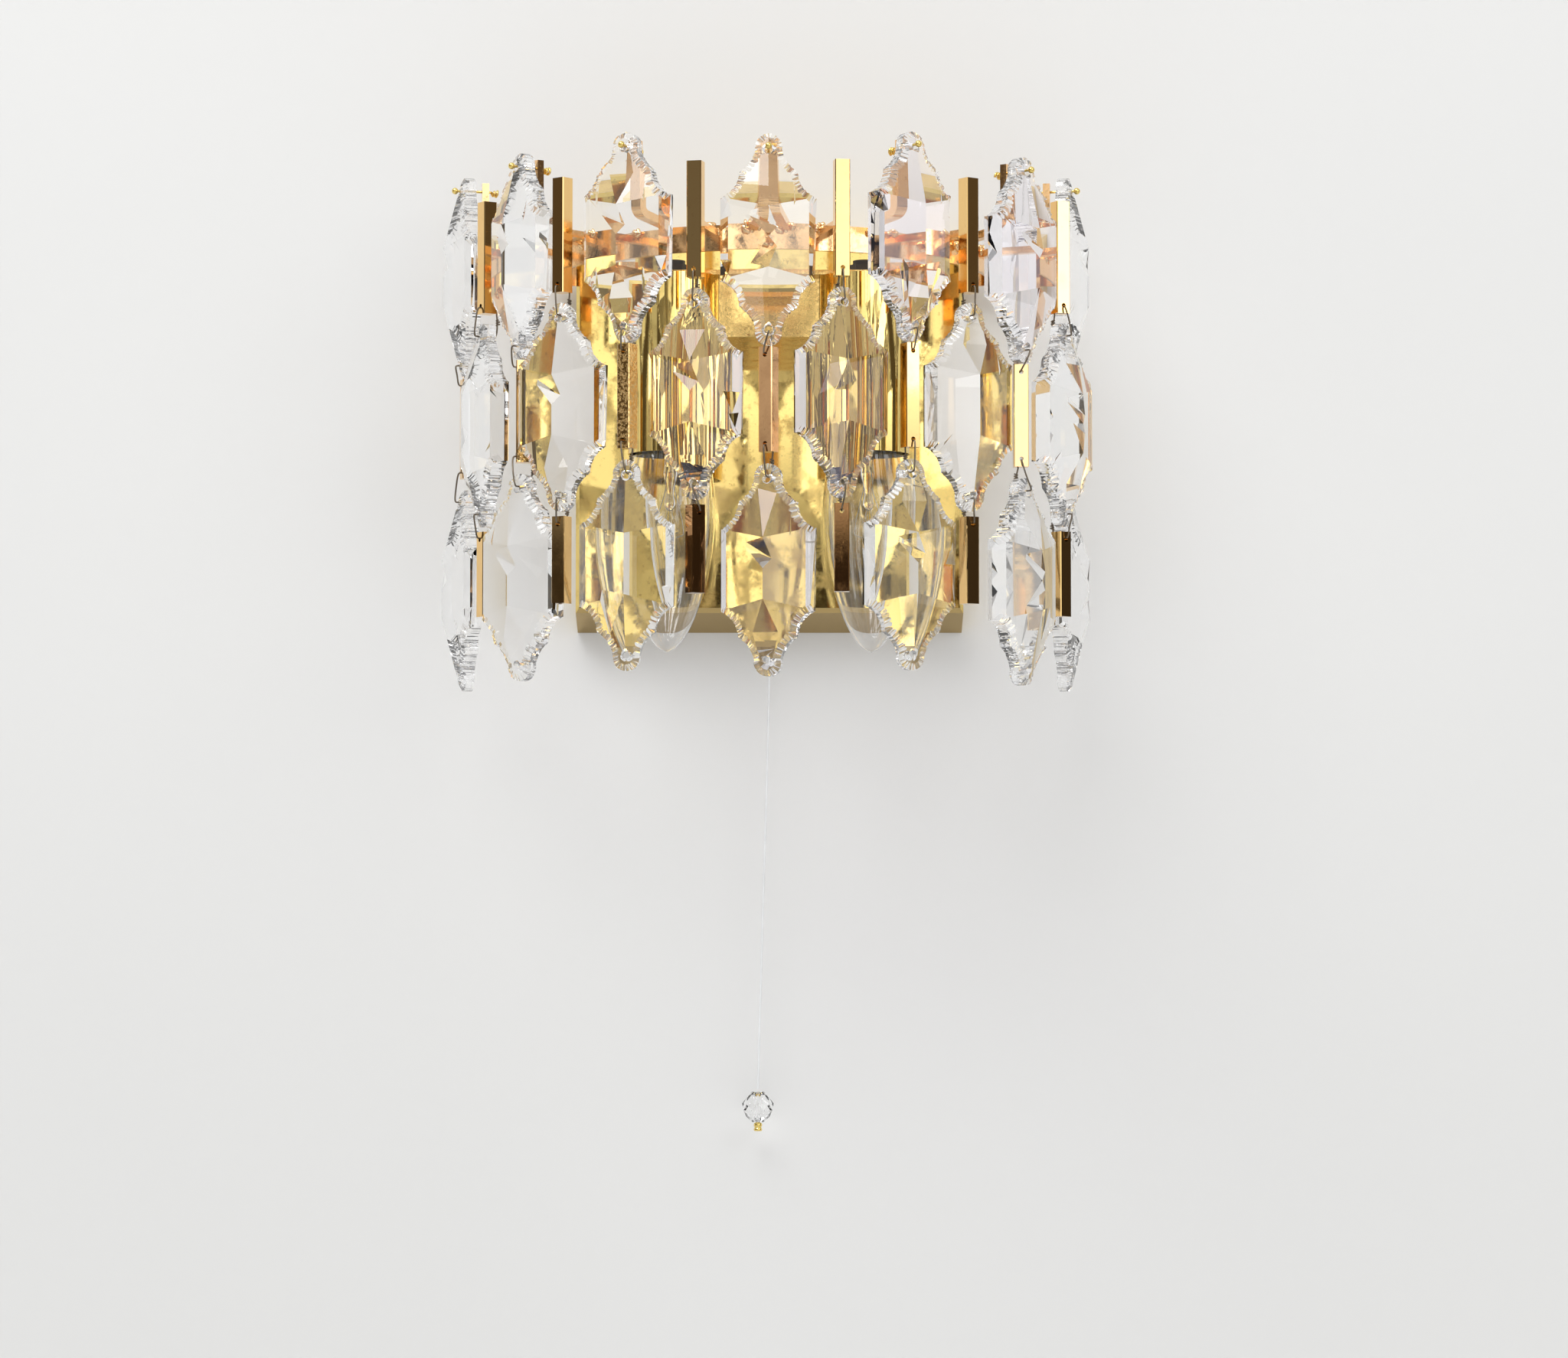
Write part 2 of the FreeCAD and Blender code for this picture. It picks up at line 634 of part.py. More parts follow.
def make_bead():
    """Faceted bead: crown, wide middle and lower cone of eight sides, bored, with a crimp below."""
    half = math.pi / 8
    rings = [(0.42, 1.0), (0.86, 0.5), (1.0, 0.0), (0.86, -0.5), (0.42, -1.0)]
    loops = []
    for share, level in rings:
        points = [V(bead_r * share * math.cos(half + i * math.pi / 4),
                    bead_r * share * math.sin(half + i * math.pi / 4), bead_r * level) for i in range(9)]
        loops.append(Part.makePolygon(points))
    bead = Part.makeLoft(loops, True, True)
    bead = bead.cut(cylinder(bead_bore_r, V(0, 0, -bead_r - 1), V(0, 0, bead_r + 1)))
    crimp = cylinder(crimp_r, V(0, 0, -bead_r - crimp_length - bead_gap), V(0, 0, -bead_r - bead_gap))
    stem = cylinder(bead_bore_r - 0.1, V(0, 0, -bead_r - 1), V(0, 0, bead_r + 0.5))
    pieces = [bead, crimp.fuse(stem)]
    for piece in pieces:
        piece.translate(bead_centre)
    return Part.makeCompound(pieces)


def save(name, shape):
    shape.exportStep("parts/%s.step" % name)
    print("%-18s solids %2d  volume %.1f" % (name, len(shape.Solids), shape.Volume))


def save_a_column(number, column, crystal, bar, heights):
    top, middle, low = column["turns"]
    high_loop = make_loop(top_loop_height, bar_wire_front_r, middle, crystal_wire_front_r, top)
    low_loop = make_loop(low_loop_height, crystal_wire_front_r, low, bar_wire_front_r, middle)
    loops = two_loops(high_loop, heights["loop_1"], low_loop, heights["loop_2"])
    save("top_crystal_%d" % number, on_column(raised(crystal, heights["top_centre"]), column, top))
    save("a_wires_%d" % number, on_column(loops, column, 0))
    save("mid_bar_%d" % number, on_column(raised(bar, heights["bar_top"]), column, middle))
    save("low_crystal_%d" % number, on_column(raised(crystal, heights["low_centre"]), column, low))


def save_b_column(number, column, crystal, bar, heights):
    top, middle, low = column["turns"]
    high_loop = make_loop(upper_bar_loop_height, crystal_wire_front_r, middle, bar_wire_front_r, top)
    low_loop = make_loop(low_bar_loop_height, bar_wire_front_r, low, crystal_wire_front_r, middle)
    loops = two_loops(high_loop, heights["loop_1"], low_loop, heights["loop_2"])
    save("b_wires_%d" % number, on_column(loops, column, 0))
    save("mid_crystal_%d" % number, on_column(raised(crystal, heights["centre"]), column, middle))
    save("low_bar_%d" % number, on_column(raised(bar, heights["bar_top"]), column, low))


def save_columns():
    crystal = make_crystal()
    mid_bar = make_bar(mid_bar_length, (bar_hole_inset, mid_bar_length - bar_hole_inset))
    low_bar = make_bar(low_bar_length, (bar_hole_inset,))
    for number, column in enumerate(a_columns, 1):
        save_a_column(number, column, crystal, mid_bar, a_heights())
    for number, column in enumerate(b_columns, 1):
        save_b_column(number, column, crystal, low_bar, b_heights())
    for kind, heights in (("A", a_heights()), ("B", b_heights())):
        for name in sorted(heights):
            print("%s column %-14s %.3f" % (kind, name, heights[name]))


def main():
    os.makedirs("parts", exist_ok=True)
    save("wall_tray", make_tray())
    save("mounting_strap", make_strap())
    save("fixing_screws", make_screws())
    save("terminal_block", make_terminal_block())
    upper_bar = raised(make_bar(upper_bar_length, (upper_bar_length - bar_hole_inset,)), upper_bar_top)
    uppers = [on_column(upper_bar, column, column["turns"][0]) for column in b_columns]
    save("ring_frame", make_ring_frame(uppers))
    save("upper_bars", Part.makeCompound(uppers))
    pins = [on_column(make_pin(), column, pin_turn(column)) for column in a_columns]
    save("crystal_pins", Part.makeCompound(pins))
    save("lamp_bridge", make_bridge())
    save("lamp_sleeves", both_sides(make_sleeve))
    save("lampholders", both_sides(make_holder))
    save("bulbs", both_sides(make_bulb))
    save("pull_switch", make_pull_switch())
    save("pull_thread", make_thread())
    save("pull_bead", make_bead())
    save_columns()


main()
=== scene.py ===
import json
import math
import random

import bmesh
import bpy
from mathutils import Matrix, Vector, noise


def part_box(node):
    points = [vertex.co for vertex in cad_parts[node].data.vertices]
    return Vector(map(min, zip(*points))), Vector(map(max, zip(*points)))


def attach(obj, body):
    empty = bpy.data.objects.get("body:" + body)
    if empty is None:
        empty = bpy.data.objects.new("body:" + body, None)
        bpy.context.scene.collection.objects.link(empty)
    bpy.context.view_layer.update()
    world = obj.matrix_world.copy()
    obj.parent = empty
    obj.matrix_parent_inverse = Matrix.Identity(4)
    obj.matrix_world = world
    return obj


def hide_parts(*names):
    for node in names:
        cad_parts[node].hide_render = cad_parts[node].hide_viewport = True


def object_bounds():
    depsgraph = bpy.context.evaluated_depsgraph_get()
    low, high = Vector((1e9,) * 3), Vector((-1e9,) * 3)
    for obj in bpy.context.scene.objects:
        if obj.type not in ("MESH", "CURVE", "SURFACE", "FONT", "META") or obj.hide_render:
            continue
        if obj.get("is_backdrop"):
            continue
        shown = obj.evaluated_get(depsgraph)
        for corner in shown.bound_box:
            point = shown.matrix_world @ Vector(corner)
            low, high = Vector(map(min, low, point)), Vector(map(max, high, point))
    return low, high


mm = 0.001  # everything below is written in millimetres and made in metres

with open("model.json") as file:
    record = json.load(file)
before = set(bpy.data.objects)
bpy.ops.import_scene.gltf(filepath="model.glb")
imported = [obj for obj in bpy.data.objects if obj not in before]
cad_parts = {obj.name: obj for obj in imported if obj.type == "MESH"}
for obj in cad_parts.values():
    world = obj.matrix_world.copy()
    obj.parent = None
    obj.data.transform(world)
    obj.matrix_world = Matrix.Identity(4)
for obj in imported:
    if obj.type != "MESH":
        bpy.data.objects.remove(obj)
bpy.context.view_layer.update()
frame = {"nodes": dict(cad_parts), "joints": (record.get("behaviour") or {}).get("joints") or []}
joints = {j["name"]: j for j in frame["joints"]}
nodes = frame["nodes"]
aCount, bCount = 7, 6  # columns that start with a crystal, and columns that start with a bar


# camera at the height and distance that the picture was taken from

view = {"place": (6.4, -2022, -210), "pitch": 3.04, "lens": 104.4, "sensor": 36.0}


def makeCamera():
    data = bpy.data.cameras.new("view")
    data.lens = view["lens"]
    data.sensor_width = view["sensor"]
    data.clip_start, data.clip_end = 0.05, 50
    camera = bpy.data.objects.new("view", data)
    camera.location = Vector(view["place"]) * mm
    camera.rotation_euler = (math.radians(90 + view["pitch"]), 0, 0)
    bpy.context.scene.collection.objects.link(camera)
    bpy.context.scene.camera = camera


makeCamera()


# small tools for meshes

def addObject(name, data, *materials):
    thing = bpy.data.objects.new(name, data)
    for material in materials:
        data.materials.append(material)
    bpy.context.scene.collection.objects.link(thing)
    return thing


def meshFrom(bm, name, smooth=False):
    mesh = bpy.data.meshes.new(name)
    bmesh.ops.recalc_face_normals(bm, faces=bm.faces)
    bm.to_mesh(mesh)
    bm.free()
    for face in mesh.polygons:
        face.use_smooth = smooth
    return mesh


def fit(thing, body, slot, *replaced):
    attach(thing, body)
    if replaced:
        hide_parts(*replaced)
    return thing


def lathe(bm, profile, matrix, sides=48, start=0.0):
    # rings of a turned shape about Z; profile is (radius, height) from one end to the other
    rings = []
    for radius, height in profile:
        if radius < 1e-6:
            rings.append([bm.verts.new(matrix @ Vector((0, 0, height)))])
            continue
        ring = []
        for i in range(sides):
            a = start + 2 * math.pi * i / sides
            ring.append(bm.verts.new(matrix @ Vector((radius * math.cos(a), radius * math.sin(a), height))))
        rings.append(ring)
    for low, high in zip(rings, rings[1:]):
        for i in range(sides):
            j = (i + 1) % sides
            corners = [low[i % len(low)], low[j % len(low)], high[j % len(high)], high[i % len(high)]]
            kept = [v for k, v in enumerate(corners) if v not in corners[:k]]
            if len(kept) > 2:
                bm.faces.new(kept)
    return rings


def curvedProfile(points, steps):
    # smooth line through the points, Catmull-Rom
    line = []
    for i in range(len(points) - 1):
        p0 = points[max(i - 1, 0)]
        p1, p2 = points[i], points[i + 1]
        p3 = points[min(i + 2, len(points) - 1)]
        for k in range(steps):
            t = k / steps
            line.append(tuple(0.5 * (2 * b + (c - a) * t + (2 * a - 5 * b + 4 * c - d) * t * t
                                     + (3 * b - a - 3 * c + d) * t ** 3)
                              for a, b, c, d in zip(p0, p1, p2, p3)))
    line.append(tuple(points[-1]))
    return line


def tube(bm, path, radius, sides=10, closed=False):
    # round wire along points given in metres
    count = len(path)
    normal = None
    rings = []
    for i, point in enumerate(path):
        ahead = path[(i + 1) % count] if closed or i < count - 1 else point
        behind = path[i - 1] if closed or i > 0 else point
        along = (ahead - behind).normalized()
        if normal is None:
            normal = along.orthogonal().normalized()
        normal = (normal - along * normal.dot(along)).normalized()
        side = along.cross(normal)
        size = radius[i] if isinstance(radius, list) else radius
        rings.append([bm.verts.new(point + (normal * math.cos(2 * math.pi * k / sides)
                                            + side * math.sin(2 * math.pi * k / sides)) * size)
                      for k in range(sides)])
    pairs = list(zip(rings, rings[1:]))
    for low, high in pairs:
        for k in range(sides):
            bm.faces.new((low[k], low[(k + 1) % sides], high[(k + 1) % sides], high[k]))
    if closed:
        first, last = rings[0], rings[-1]
        nearest = min(range(sides), key=lambda s: (last[s].co - first[0].co).length)
        for k in range(sides):
            bm.faces.new((last[(k + nearest) % sides], last[(k + 1 + nearest) % sides],
                          first[(k + 1) % sides], first[k]))
    else:
        bm.faces.new(rings[0])
        bm.faces.new(rings[-1])


def smoothPath(points, closed=False, resolution=12):
    # points read from a NURBS spline of order 3 through the control points
    curve = bpy.data.curves.new("guide", "CURVE")
    curve.dimensions = "3D"
    curve.resolution_u = resolution
    spline = curve.splines.new("NURBS")
    spline.points.add(len(points) - 1)
    for slot, point in zip(spline.points, points):
        slot.co = (*point, 1)
    spline.order_u = 3
    spline.use_cyclic_u = closed
    spline.use_endpoint_u = not closed
    guide = bpy.data.objects.new("guide", curve)
    mesh = bpy.data.meshes.new_from_object(guide)
    path = [v.co.copy() for v in mesh.vertices]
    bpy.data.objects.remove(guide)
    bpy.data.meshes.remove(mesh)
    return path


# where each piece hangs, and which way it has turned about its hanging line

def heightOf(jointName):
    return joints[jointName]["pos_m"][2] / mm


def hangLine(jointName):
    x, y, z = joints[jointName]["pos_m"]
    return Vector((x, y, 0))


def uprightSides(node):
    # [area, normal] of a solid's flat upright sides, the largest first
    sides = []
    for face in nodes[node].data.polygons:
        if abs(face.normal.z) > 0.01:
            continue
        for side in sides:
            if side[1].dot(face.normal) > 0.999:
                side[0] += face.area
                break
        else:
            sides.append([face.area, face.normal.copy()])
    return sorted(sides, key=lambda side: -side[0])


def crystalFacing(node):
    return -uprightSides(node)[0][1]  # away from its flat back


def barFacing(node, outward):
    # the two sides with holes are a little smaller than the other two
    found = uprightSides(node)[3][1]
    return found if found.dot(outward) > 0 else -found


def standAt(line, facing):
    # X to the right seen from outside, -Y outwards, Z up, origin on the hanging line
    turn = Matrix(((-facing.y, -facing.x, 0), (facing.x, -facing.y, 0), (0, 0, 1))).to_4x4()
    return Matrix.Translation(line) @ turn @ Matrix.Scale(mm, 4)


ringCentre = Vector((0, -22.0, 0)) * mm
aLines = [hangLine("top_crystal_%d_sway" % k) for k in range(1, aCount + 1)]
bLines = [hangLine("mid_crystal_%d_sway" % k) for k in range(1, bCount + 1)]


# materials

def newMaterial(name):
    material = bpy.data.materials.new(name)
    material.use_nodes = True
    tree = material.node_tree
    return material, tree, tree.nodes["Principled BSDF"]


def add(tree, kind, **settings):
    node = tree.nodes.new(kind)
    for key, value in settings.items():
        if hasattr(node, key):
            setattr(node, key, value)
        else:
            node.inputs[key].default_value = value
    return node


def link(tree, start, end):
    tree.links.new(start, end)


def place(tree):
    return add(tree, "ShaderNodeTexCoord").outputs["Object"]


def noiseOf(tree, scale, detail=2.0, rough=0.5, stretch=(1, 1, 1)):
    mapping = add(tree, "ShaderNodeMapping")
    mapping.inputs["Scale"].default_value = stretch
    link(tree, place(tree), mapping.inputs["Vector"])
    texture = add(tree, "ShaderNodeTexNoise")
    texture.inputs["Scale"].default_value = scale
    texture.inputs["Detail"].default_value = detail
    texture.inputs["Roughness"].default_value = rough
    link(tree, mapping.outputs["Vector"], texture.inputs["Vector"])
    return texture.outputs["Fac"]


def ramp(tree, source, low, high, first=0.0, last=1.0):
    node = add(tree, "ShaderNodeMapRange")
    node.inputs["From Min"].default_value = low
    node.inputs["From Max"].default_value = high
    node.inputs["To Min"].default_value = first
    node.inputs["To Max"].default_value = last
    link(tree, source, node.inputs["Value"])
    return node.outputs["Result"]


def calc(tree, kind, first, second):
    node = add(tree, "ShaderNodeMath", operation=kind)
    for socket, value in zip(node.inputs, (first, second)):
        if isinstance(value, (int, float)):
            socket.default_value = value
        else:
            link(tree, value, socket)
    return node.outputs["Value"]


def tint(tree, share, first, second):
    node = add(tree, "ShaderNodeMix", data_type="RGBA")
    link(tree, share, node.inputs["Factor"])
    for socket, value in zip((node.inputs[6], node.inputs[7]), (first, second)):
        if isinstance(value, tuple):
            socket.default_value = (*value, 1)
        else:
            link(tree, value, socket)
    return node.outputs[2]


def bump(tree, shader, layers):
    # layers of (height 0..1, depth in mm), each bump on top of the one before
    before = None
    for height, depth in layers:
        node = add(tree, "ShaderNodeBump")
        node.inputs["Strength"].default_value = 1.0
        node.inputs["Distance"].default_value = depth * mm
        link(tree, height, node.inputs["Height"])
        if before:
            link(tree, before, node.inputs["Normal"])
        before = node.outputs["Normal"]
    link(tree, before, shader.inputs["Normal"])


gilt = {"bright": (0.91, 0.60, 0.25), "deep": (0.52, 0.25, 0.08), "pink": (0.93, 0.59, 0.29),
        "lemon": (0.90, 0.68, 0.24), "olive": (0.42, 0.27, 0.07)}
grainScale = {"stain": 90, "fine": 900, "specks": 620, "pits": 760, "scratches": 300,
              "glass": 420, "plain": 1400}


def giltMaterial(name, tone, dark, roughness, ripple=0.02, rippleScale=45, patina=0.25, pits=0.0,
                 scratches=0.0, under=None):
    # gold plate: tone wandering with patina, slow waves, fine grain, and pits or scratches on worn pieces;
    # where asked, painted shade on faces that look down
    material, tree, shader = newMaterial(name)
    stain = ramp(tree, noiseOf(tree, grainScale["stain"], 5, 0.62), 0.50, 0.78, 0, patina)
    fine = noiseOf(tree, grainScale["fine"], 3, 0.6)
    specks = ramp(tree, noiseOf(tree, grainScale["specks"], 2, 0.5), 0.66, 0.74, 0, patina)
    colour = tint(tree, stain, tone, dark)
    colour = tint(tree, specks, colour, dark)
    gloss = calc(tree, "ADD", ramp(tree, fine, 0.35, 0.7, roughness * 0.7, roughness * 1.3),
                 calc(tree, "MULTIPLY", stain, 0.35))
    layers = [(noiseOf(tree, rippleScale, 1.5, 0.4), ripple), (fine, 0.0012)]
    if pits:
        holes = ramp(tree, noiseOf(tree, grainScale["pits"], 3, 0.7), 0.50, 0.64, 0, 1)
        layers.append((holes, pits))
        gloss = calc(tree, "ADD", gloss, calc(tree, "MULTIPLY", holes, 0.10))
    if scratches:
        lines = ramp(tree, noiseOf(tree, grainScale["scratches"], 1, 0.5, (4, 4, 0.35)), 0.66, 0.70, 0, 1)
        layers.append((lines, scratches))
    if under:  # painted shade: faces that look down get a darker, duller colour
        parts = add(tree, "ShaderNodeSeparateXYZ")
        link(tree, add(tree, "ShaderNodeNewGeometry").outputs["True Normal"], parts.inputs["Vector"])
        colour = tint(tree, ramp(tree, parts.outputs["Z"], -0.15, -0.3), colour, under)
    link(tree, colour, shader.inputs["Base Color"])
    link(tree, gloss, shader.inputs["Roughness"])
    shader.inputs["Metallic"].default_value = 1.0
    bump(tree, shader, layers)
    return material


def shadowLets(tree, shader, colour):
    # lamps shine through clear pieces, so that what is behind keeps a soft shadow only
    output = tree.nodes["Material Output"]
    rays = add(tree, "ShaderNodeLightPath")
    clear = add(tree, "ShaderNodeBsdfTransparent")
    clear.inputs["Color"].default_value = (*colour, 1)
    mixer = add(tree, "ShaderNodeMixShader")
    link(tree, rays.outputs["Is Shadow Ray"], mixer.inputs["Fac"])
    link(tree, shader.outputs["BSDF"], mixer.inputs[1])
    link(tree, clear.outputs["BSDF"], mixer.inputs[2])
    link(tree, mixer.outputs["Shader"], output.inputs["Surface"])


def glassMaterial(name, ior, colour, shade, roughness=0.0, clearness=1.0, grain=0.0, sheen=None):
    material, tree, shader = newMaterial(name)
    shader.inputs["Base Color"].default_value = (*colour, 1)
    shader.inputs["Roughness"].default_value = roughness
    shader.inputs["IOR"].default_value = ior
    shader.inputs["Transmission Weight"].default_value = clearness
    if sheen:  # how much more it mirrors, and the tone of that
        shader.inputs["Specular IOR Level"].default_value = sheen[0]
        shader.inputs["Specular Tint"].default_value = (*sheen[1], 1)
    if grain:
        bump(tree, shader, [(noiseOf(tree, grainScale["glass"], 3, 0.6), grain)])
    shadowLets(tree, shader, shade)
    return material


def plainMaterial(name, colour, other, roughness, grain, metallic=0.0):
    material, tree, shader = newMaterial(name)
    patches = ramp(tree, noiseOf(tree, 120, 4, 0.6), 0.35, 0.7, 0, 1)
    link(tree, tint(tree, patches, colour, other), shader.inputs["Base Color"])
    fine = noiseOf(tree, grainScale["plain"], 2, 0.5)
    link(tree, ramp(tree, fine, 0.3, 0.7, roughness * 0.8, roughness * 1.2), shader.inputs["Roughness"])
    shader.inputs["Metallic"].default_value = metallic
    bump(tree, shader, [(fine, grain)])
    return material


# the tray's faces that look down take a darker colour: painted shade on its underside
giltTray = giltMaterial("gilt_tray", (0.86, 0.64, 0.22), (0.50, 0.32, 0.10), 0.05, 0.035, 30, 0.6,
                        under=(0.46, 0.33, 0.14))
giltSleeve = giltMaterial("gilt_sleeve", gilt["lemon"], gilt["olive"], 0.05, 0.008, 55, 0.3)
giltBridge = giltMaterial("gilt_bridge", (0.86, 0.60, 0.22), gilt["deep"], 0.14, 0.04, 120, 0.6, 0.010)
giltBand = giltMaterial("gilt_band", gilt["pink"], gilt["deep"], 0.10, 0.03, 70, 0.35, 0.006)
giltBar = giltMaterial("gilt_bar", gilt["bright"], gilt["deep"], 0.04, 0.008, 40, 0.15)
giltBarPitted = giltMaterial("gilt_bar_pitted", gilt["bright"], gilt["deep"], 0.10, 0.02, 60, 0.3, 0.06)
giltBarWorn = giltMaterial("gilt_bar_worn", (0.86, 0.50, 0.24), (0.45, 0.16, 0.06), 0.04, 0.006, 50, 0.2,
                           scratches=0.003)
# painted shade: a darker copy of the bar gilt, standing in for the dark part of the room that two low bars
# reflect; its scratches are real wear
giltBarShaded = giltMaterial("gilt_bar_painted_shade", (0.60, 0.32, 0.13), (0.22, 0.08, 0.03), 0.03, 0.004, 50, 0.3,
                           scratches=0.002)
pinBrass = giltMaterial("pin_brass", (0.90, 0.68, 0.22), (0.45, 0.30, 0.08), 0.10, 0.004, 300, 0.3)
solderGilt = giltMaterial("solder_gilt", (0.92, 0.62, 0.32), gilt["deep"], 0.12, 0.05, 420, 0.5)
cutGlass = glassMaterial("cut_crystal", 1.545, (1, 1, 1), (0.86, 0.86, 0.87), sheen=(0.8, (1, 1, 1)))
lilacGlass = glassMaterial("lilac_crystal", 1.545, (0.975, 0.96, 1.0), (0.86, 0.84, 0.88),
                           sheen=(1.0, (0.90, 0.84, 1.0)))
rimGlass = glassMaterial("chipped_crystal", 1.52, (1, 1, 1), (0.88, 0.88, 0.89), 0.02, 0.88, 0.05)
bulbGlass = glassMaterial("bulb_glass", 1.47, (1, 1, 1), (0.90, 0.90, 0.90))
darkWire = plainMaterial("dark_wire", (0.11, 0.09, 0.07), (0.24, 0.20, 0.15), 0.38, 0.004, 0.85)
zincSteel = plainMaterial("zinc_steel", (0.60, 0.61, 0.60), (0.47, 0.47, 0.44), 0.30, 0.004, 1.0)
blackPlastic = plainMaterial("black_plastic", (0.022, 0.020, 0.020), (0.035, 0.032, 0.030), 0.42, 0.004)
whitePlastic = plainMaterial("white_plastic", (0.80, 0.79, 0.75), (0.72, 0.70, 0.64), 0.40, 0.003)
leadSteel = plainMaterial("lead_wire", (0.52, 0.50, 0.47), (0.40, 0.37, 0.32), 0.30, 0.002, 1.0)
clearNylon = plainMaterial("clear_thread", (0.86, 0.87, 0.88), (0.78, 0.79, 0.80), 0.22, 0.002)
print("materials made")


# CAD nodes that keep their shape and only take a finish

finishes = {"wall_tray": giltTray, "mounting_strap": zincSteel, "terminal_block": whitePlastic,
            "ring_frame": giltBand, "upper_bars": giltBar, "lamp_bridge": giltBridge,
            "lamp_sleeves": giltSleeve, "lampholders": blackPlastic, "pull_switch": whitePlastic,
            "fixing_screws": pinBrass}
for k in range(1, aCount + 1):
    finishes["mid_bar_%d" % k] = {3: giltBarPitted, 4: giltBarWorn}.get(k, giltBar)
# low bars 3 and 4 take the darker copy of the bar gilt: painted shade
for k in range(1, bCount + 1):
    finishes["low_bar_%d" % k] = {3: giltBarShaded, 4: giltBarShaded}.get(k, giltBar)
for name, material in finishes.items():
    mesh = nodes[name].data
    mesh.materials.clear()
    mesh.materials.append(material)
print("finishes on", len(finishes), "CAD nodes")


# cut crystals: flat back, six facets with a bevel down each straight side, and a knapped rim on the scallops

crystal = {
    "width": 40.0, "height": 88.2, "straightSide": 34.3,
    "ridge": 13.5, "ridgeHalf": 12.7,  # thickness at the ridge and half its length
    "sideFall": 0.365, "endSideFall": 0.305, "endFall": 0.27,  # falls per mm
    "bevelEdge": 2.2, "bevelFall": 1.6,
    "shoulder": (14.4, 4.1), "cusp": (12.3, 10.8), "neck": (8.1, 14.5),  # x, height over the straight side
    "lobe": 5.7, "lobeRise": 1.6, "lobeCalm": 0.45,  # the lobes at both tips are chipped less
    "rim": 2.5, "chipLength": (1.3, 2.2), "chipDepth": (0.08, 0.36), "chipFall": (0.7, 2.6),
    "hole": 1.6, "holeInset": 6.7, "behind": 2.0,  # flat back behind the hanging line
}


def circleArc(start, middle, end, step):
    # points on the arc through three points, the end left out
    (ax, az), (bx, bz), (cx, cz) = start, middle, end
    d = 2 * (ax * (bz - cz) + bx * (cz - az) + cx * (az - bz))
    a2, b2, c2 = ax * ax + az * az, bx * bx + bz * bz, cx * cx + cz * cz
    ox = (a2 * (bz - cz) + b2 * (cz - az) + c2 * (az - bz)) / d
    oz = (a2 * (cx - bx) + b2 * (ax - cx) + c2 * (bx - ax)) / d
    radius = math.hypot(ax - ox, az - oz)
    first, last = math.atan2(az - oz, ax - ox), math.atan2(cz - oz, cx - ox)
    mid = math.atan2(bz - oz, bx - ox)
    turn = (last - first) % (2 * math.pi)
    if (mid - first) % (2 * math.pi) > turn:
        turn -= 2 * math.pi
    count = max(2, round(abs(turn) * radius / step))
    return [(ox + radius * math.cos(first + turn * i / count),
             oz + radius * math.sin(first + turn * i / count)) for i in range(count)]


def quarterLine():
    # fine line of one quarter from the shoulder corner up to the tip, with the places of its cusps
    c = crystal
    side, corner = c["width"] / 2, c["straightSide"] / 2
    lobeZ = c["height"] / 2 - c["lobe"]
    start = (side, corner)
    shoulder = (c["shoulder"][0], corner + c["shoulder"][1])
    cusp = (c["cusp"][0], corner + c["cusp"][1])
    neck = (c["neck"][0], corner + c["neck"][1])
    foot, lobeSide = (c["lobe"], lobeZ - c["lobeRise"]), (c["lobe"], lobeZ)
    tip = (0.0, c["height"] / 2)
    half = math.sqrt(0.5) * c["lobe"]
    line = circleArc(start, shoulder, cusp, 0.2)
    first = len(line)
    line += circleArc(cusp, neck, foot, 0.2)
    second = len(line)
    line += [foot, (c["lobe"], lobeZ - c["lobeRise"] / 2)]
    line += circleArc(lobeSide, (half, lobeZ + half), tip, 0.2) + [tip]
    return line, [first, second]


fineLine, cuspPlaces = quarterLine()


def inwardNormals(line):
    found = []
    for i in range(len(line)):
        before, after = line[max(i - 1, 0)], line[min(i + 1, len(line) - 1)]
        dx, dz = after[0] - before[0], after[1] - before[1]
        size = math.hypot(dx, dz)
        found.append((-dz / size, dx / size))
    found[-1] = (0.0, -1.0)
    return found


fineNormals = inwardNormals(fineLine)


def nearLine(x, z):
    return min(math.hypot(x - px, z - pz) for px, pz in fineLine)


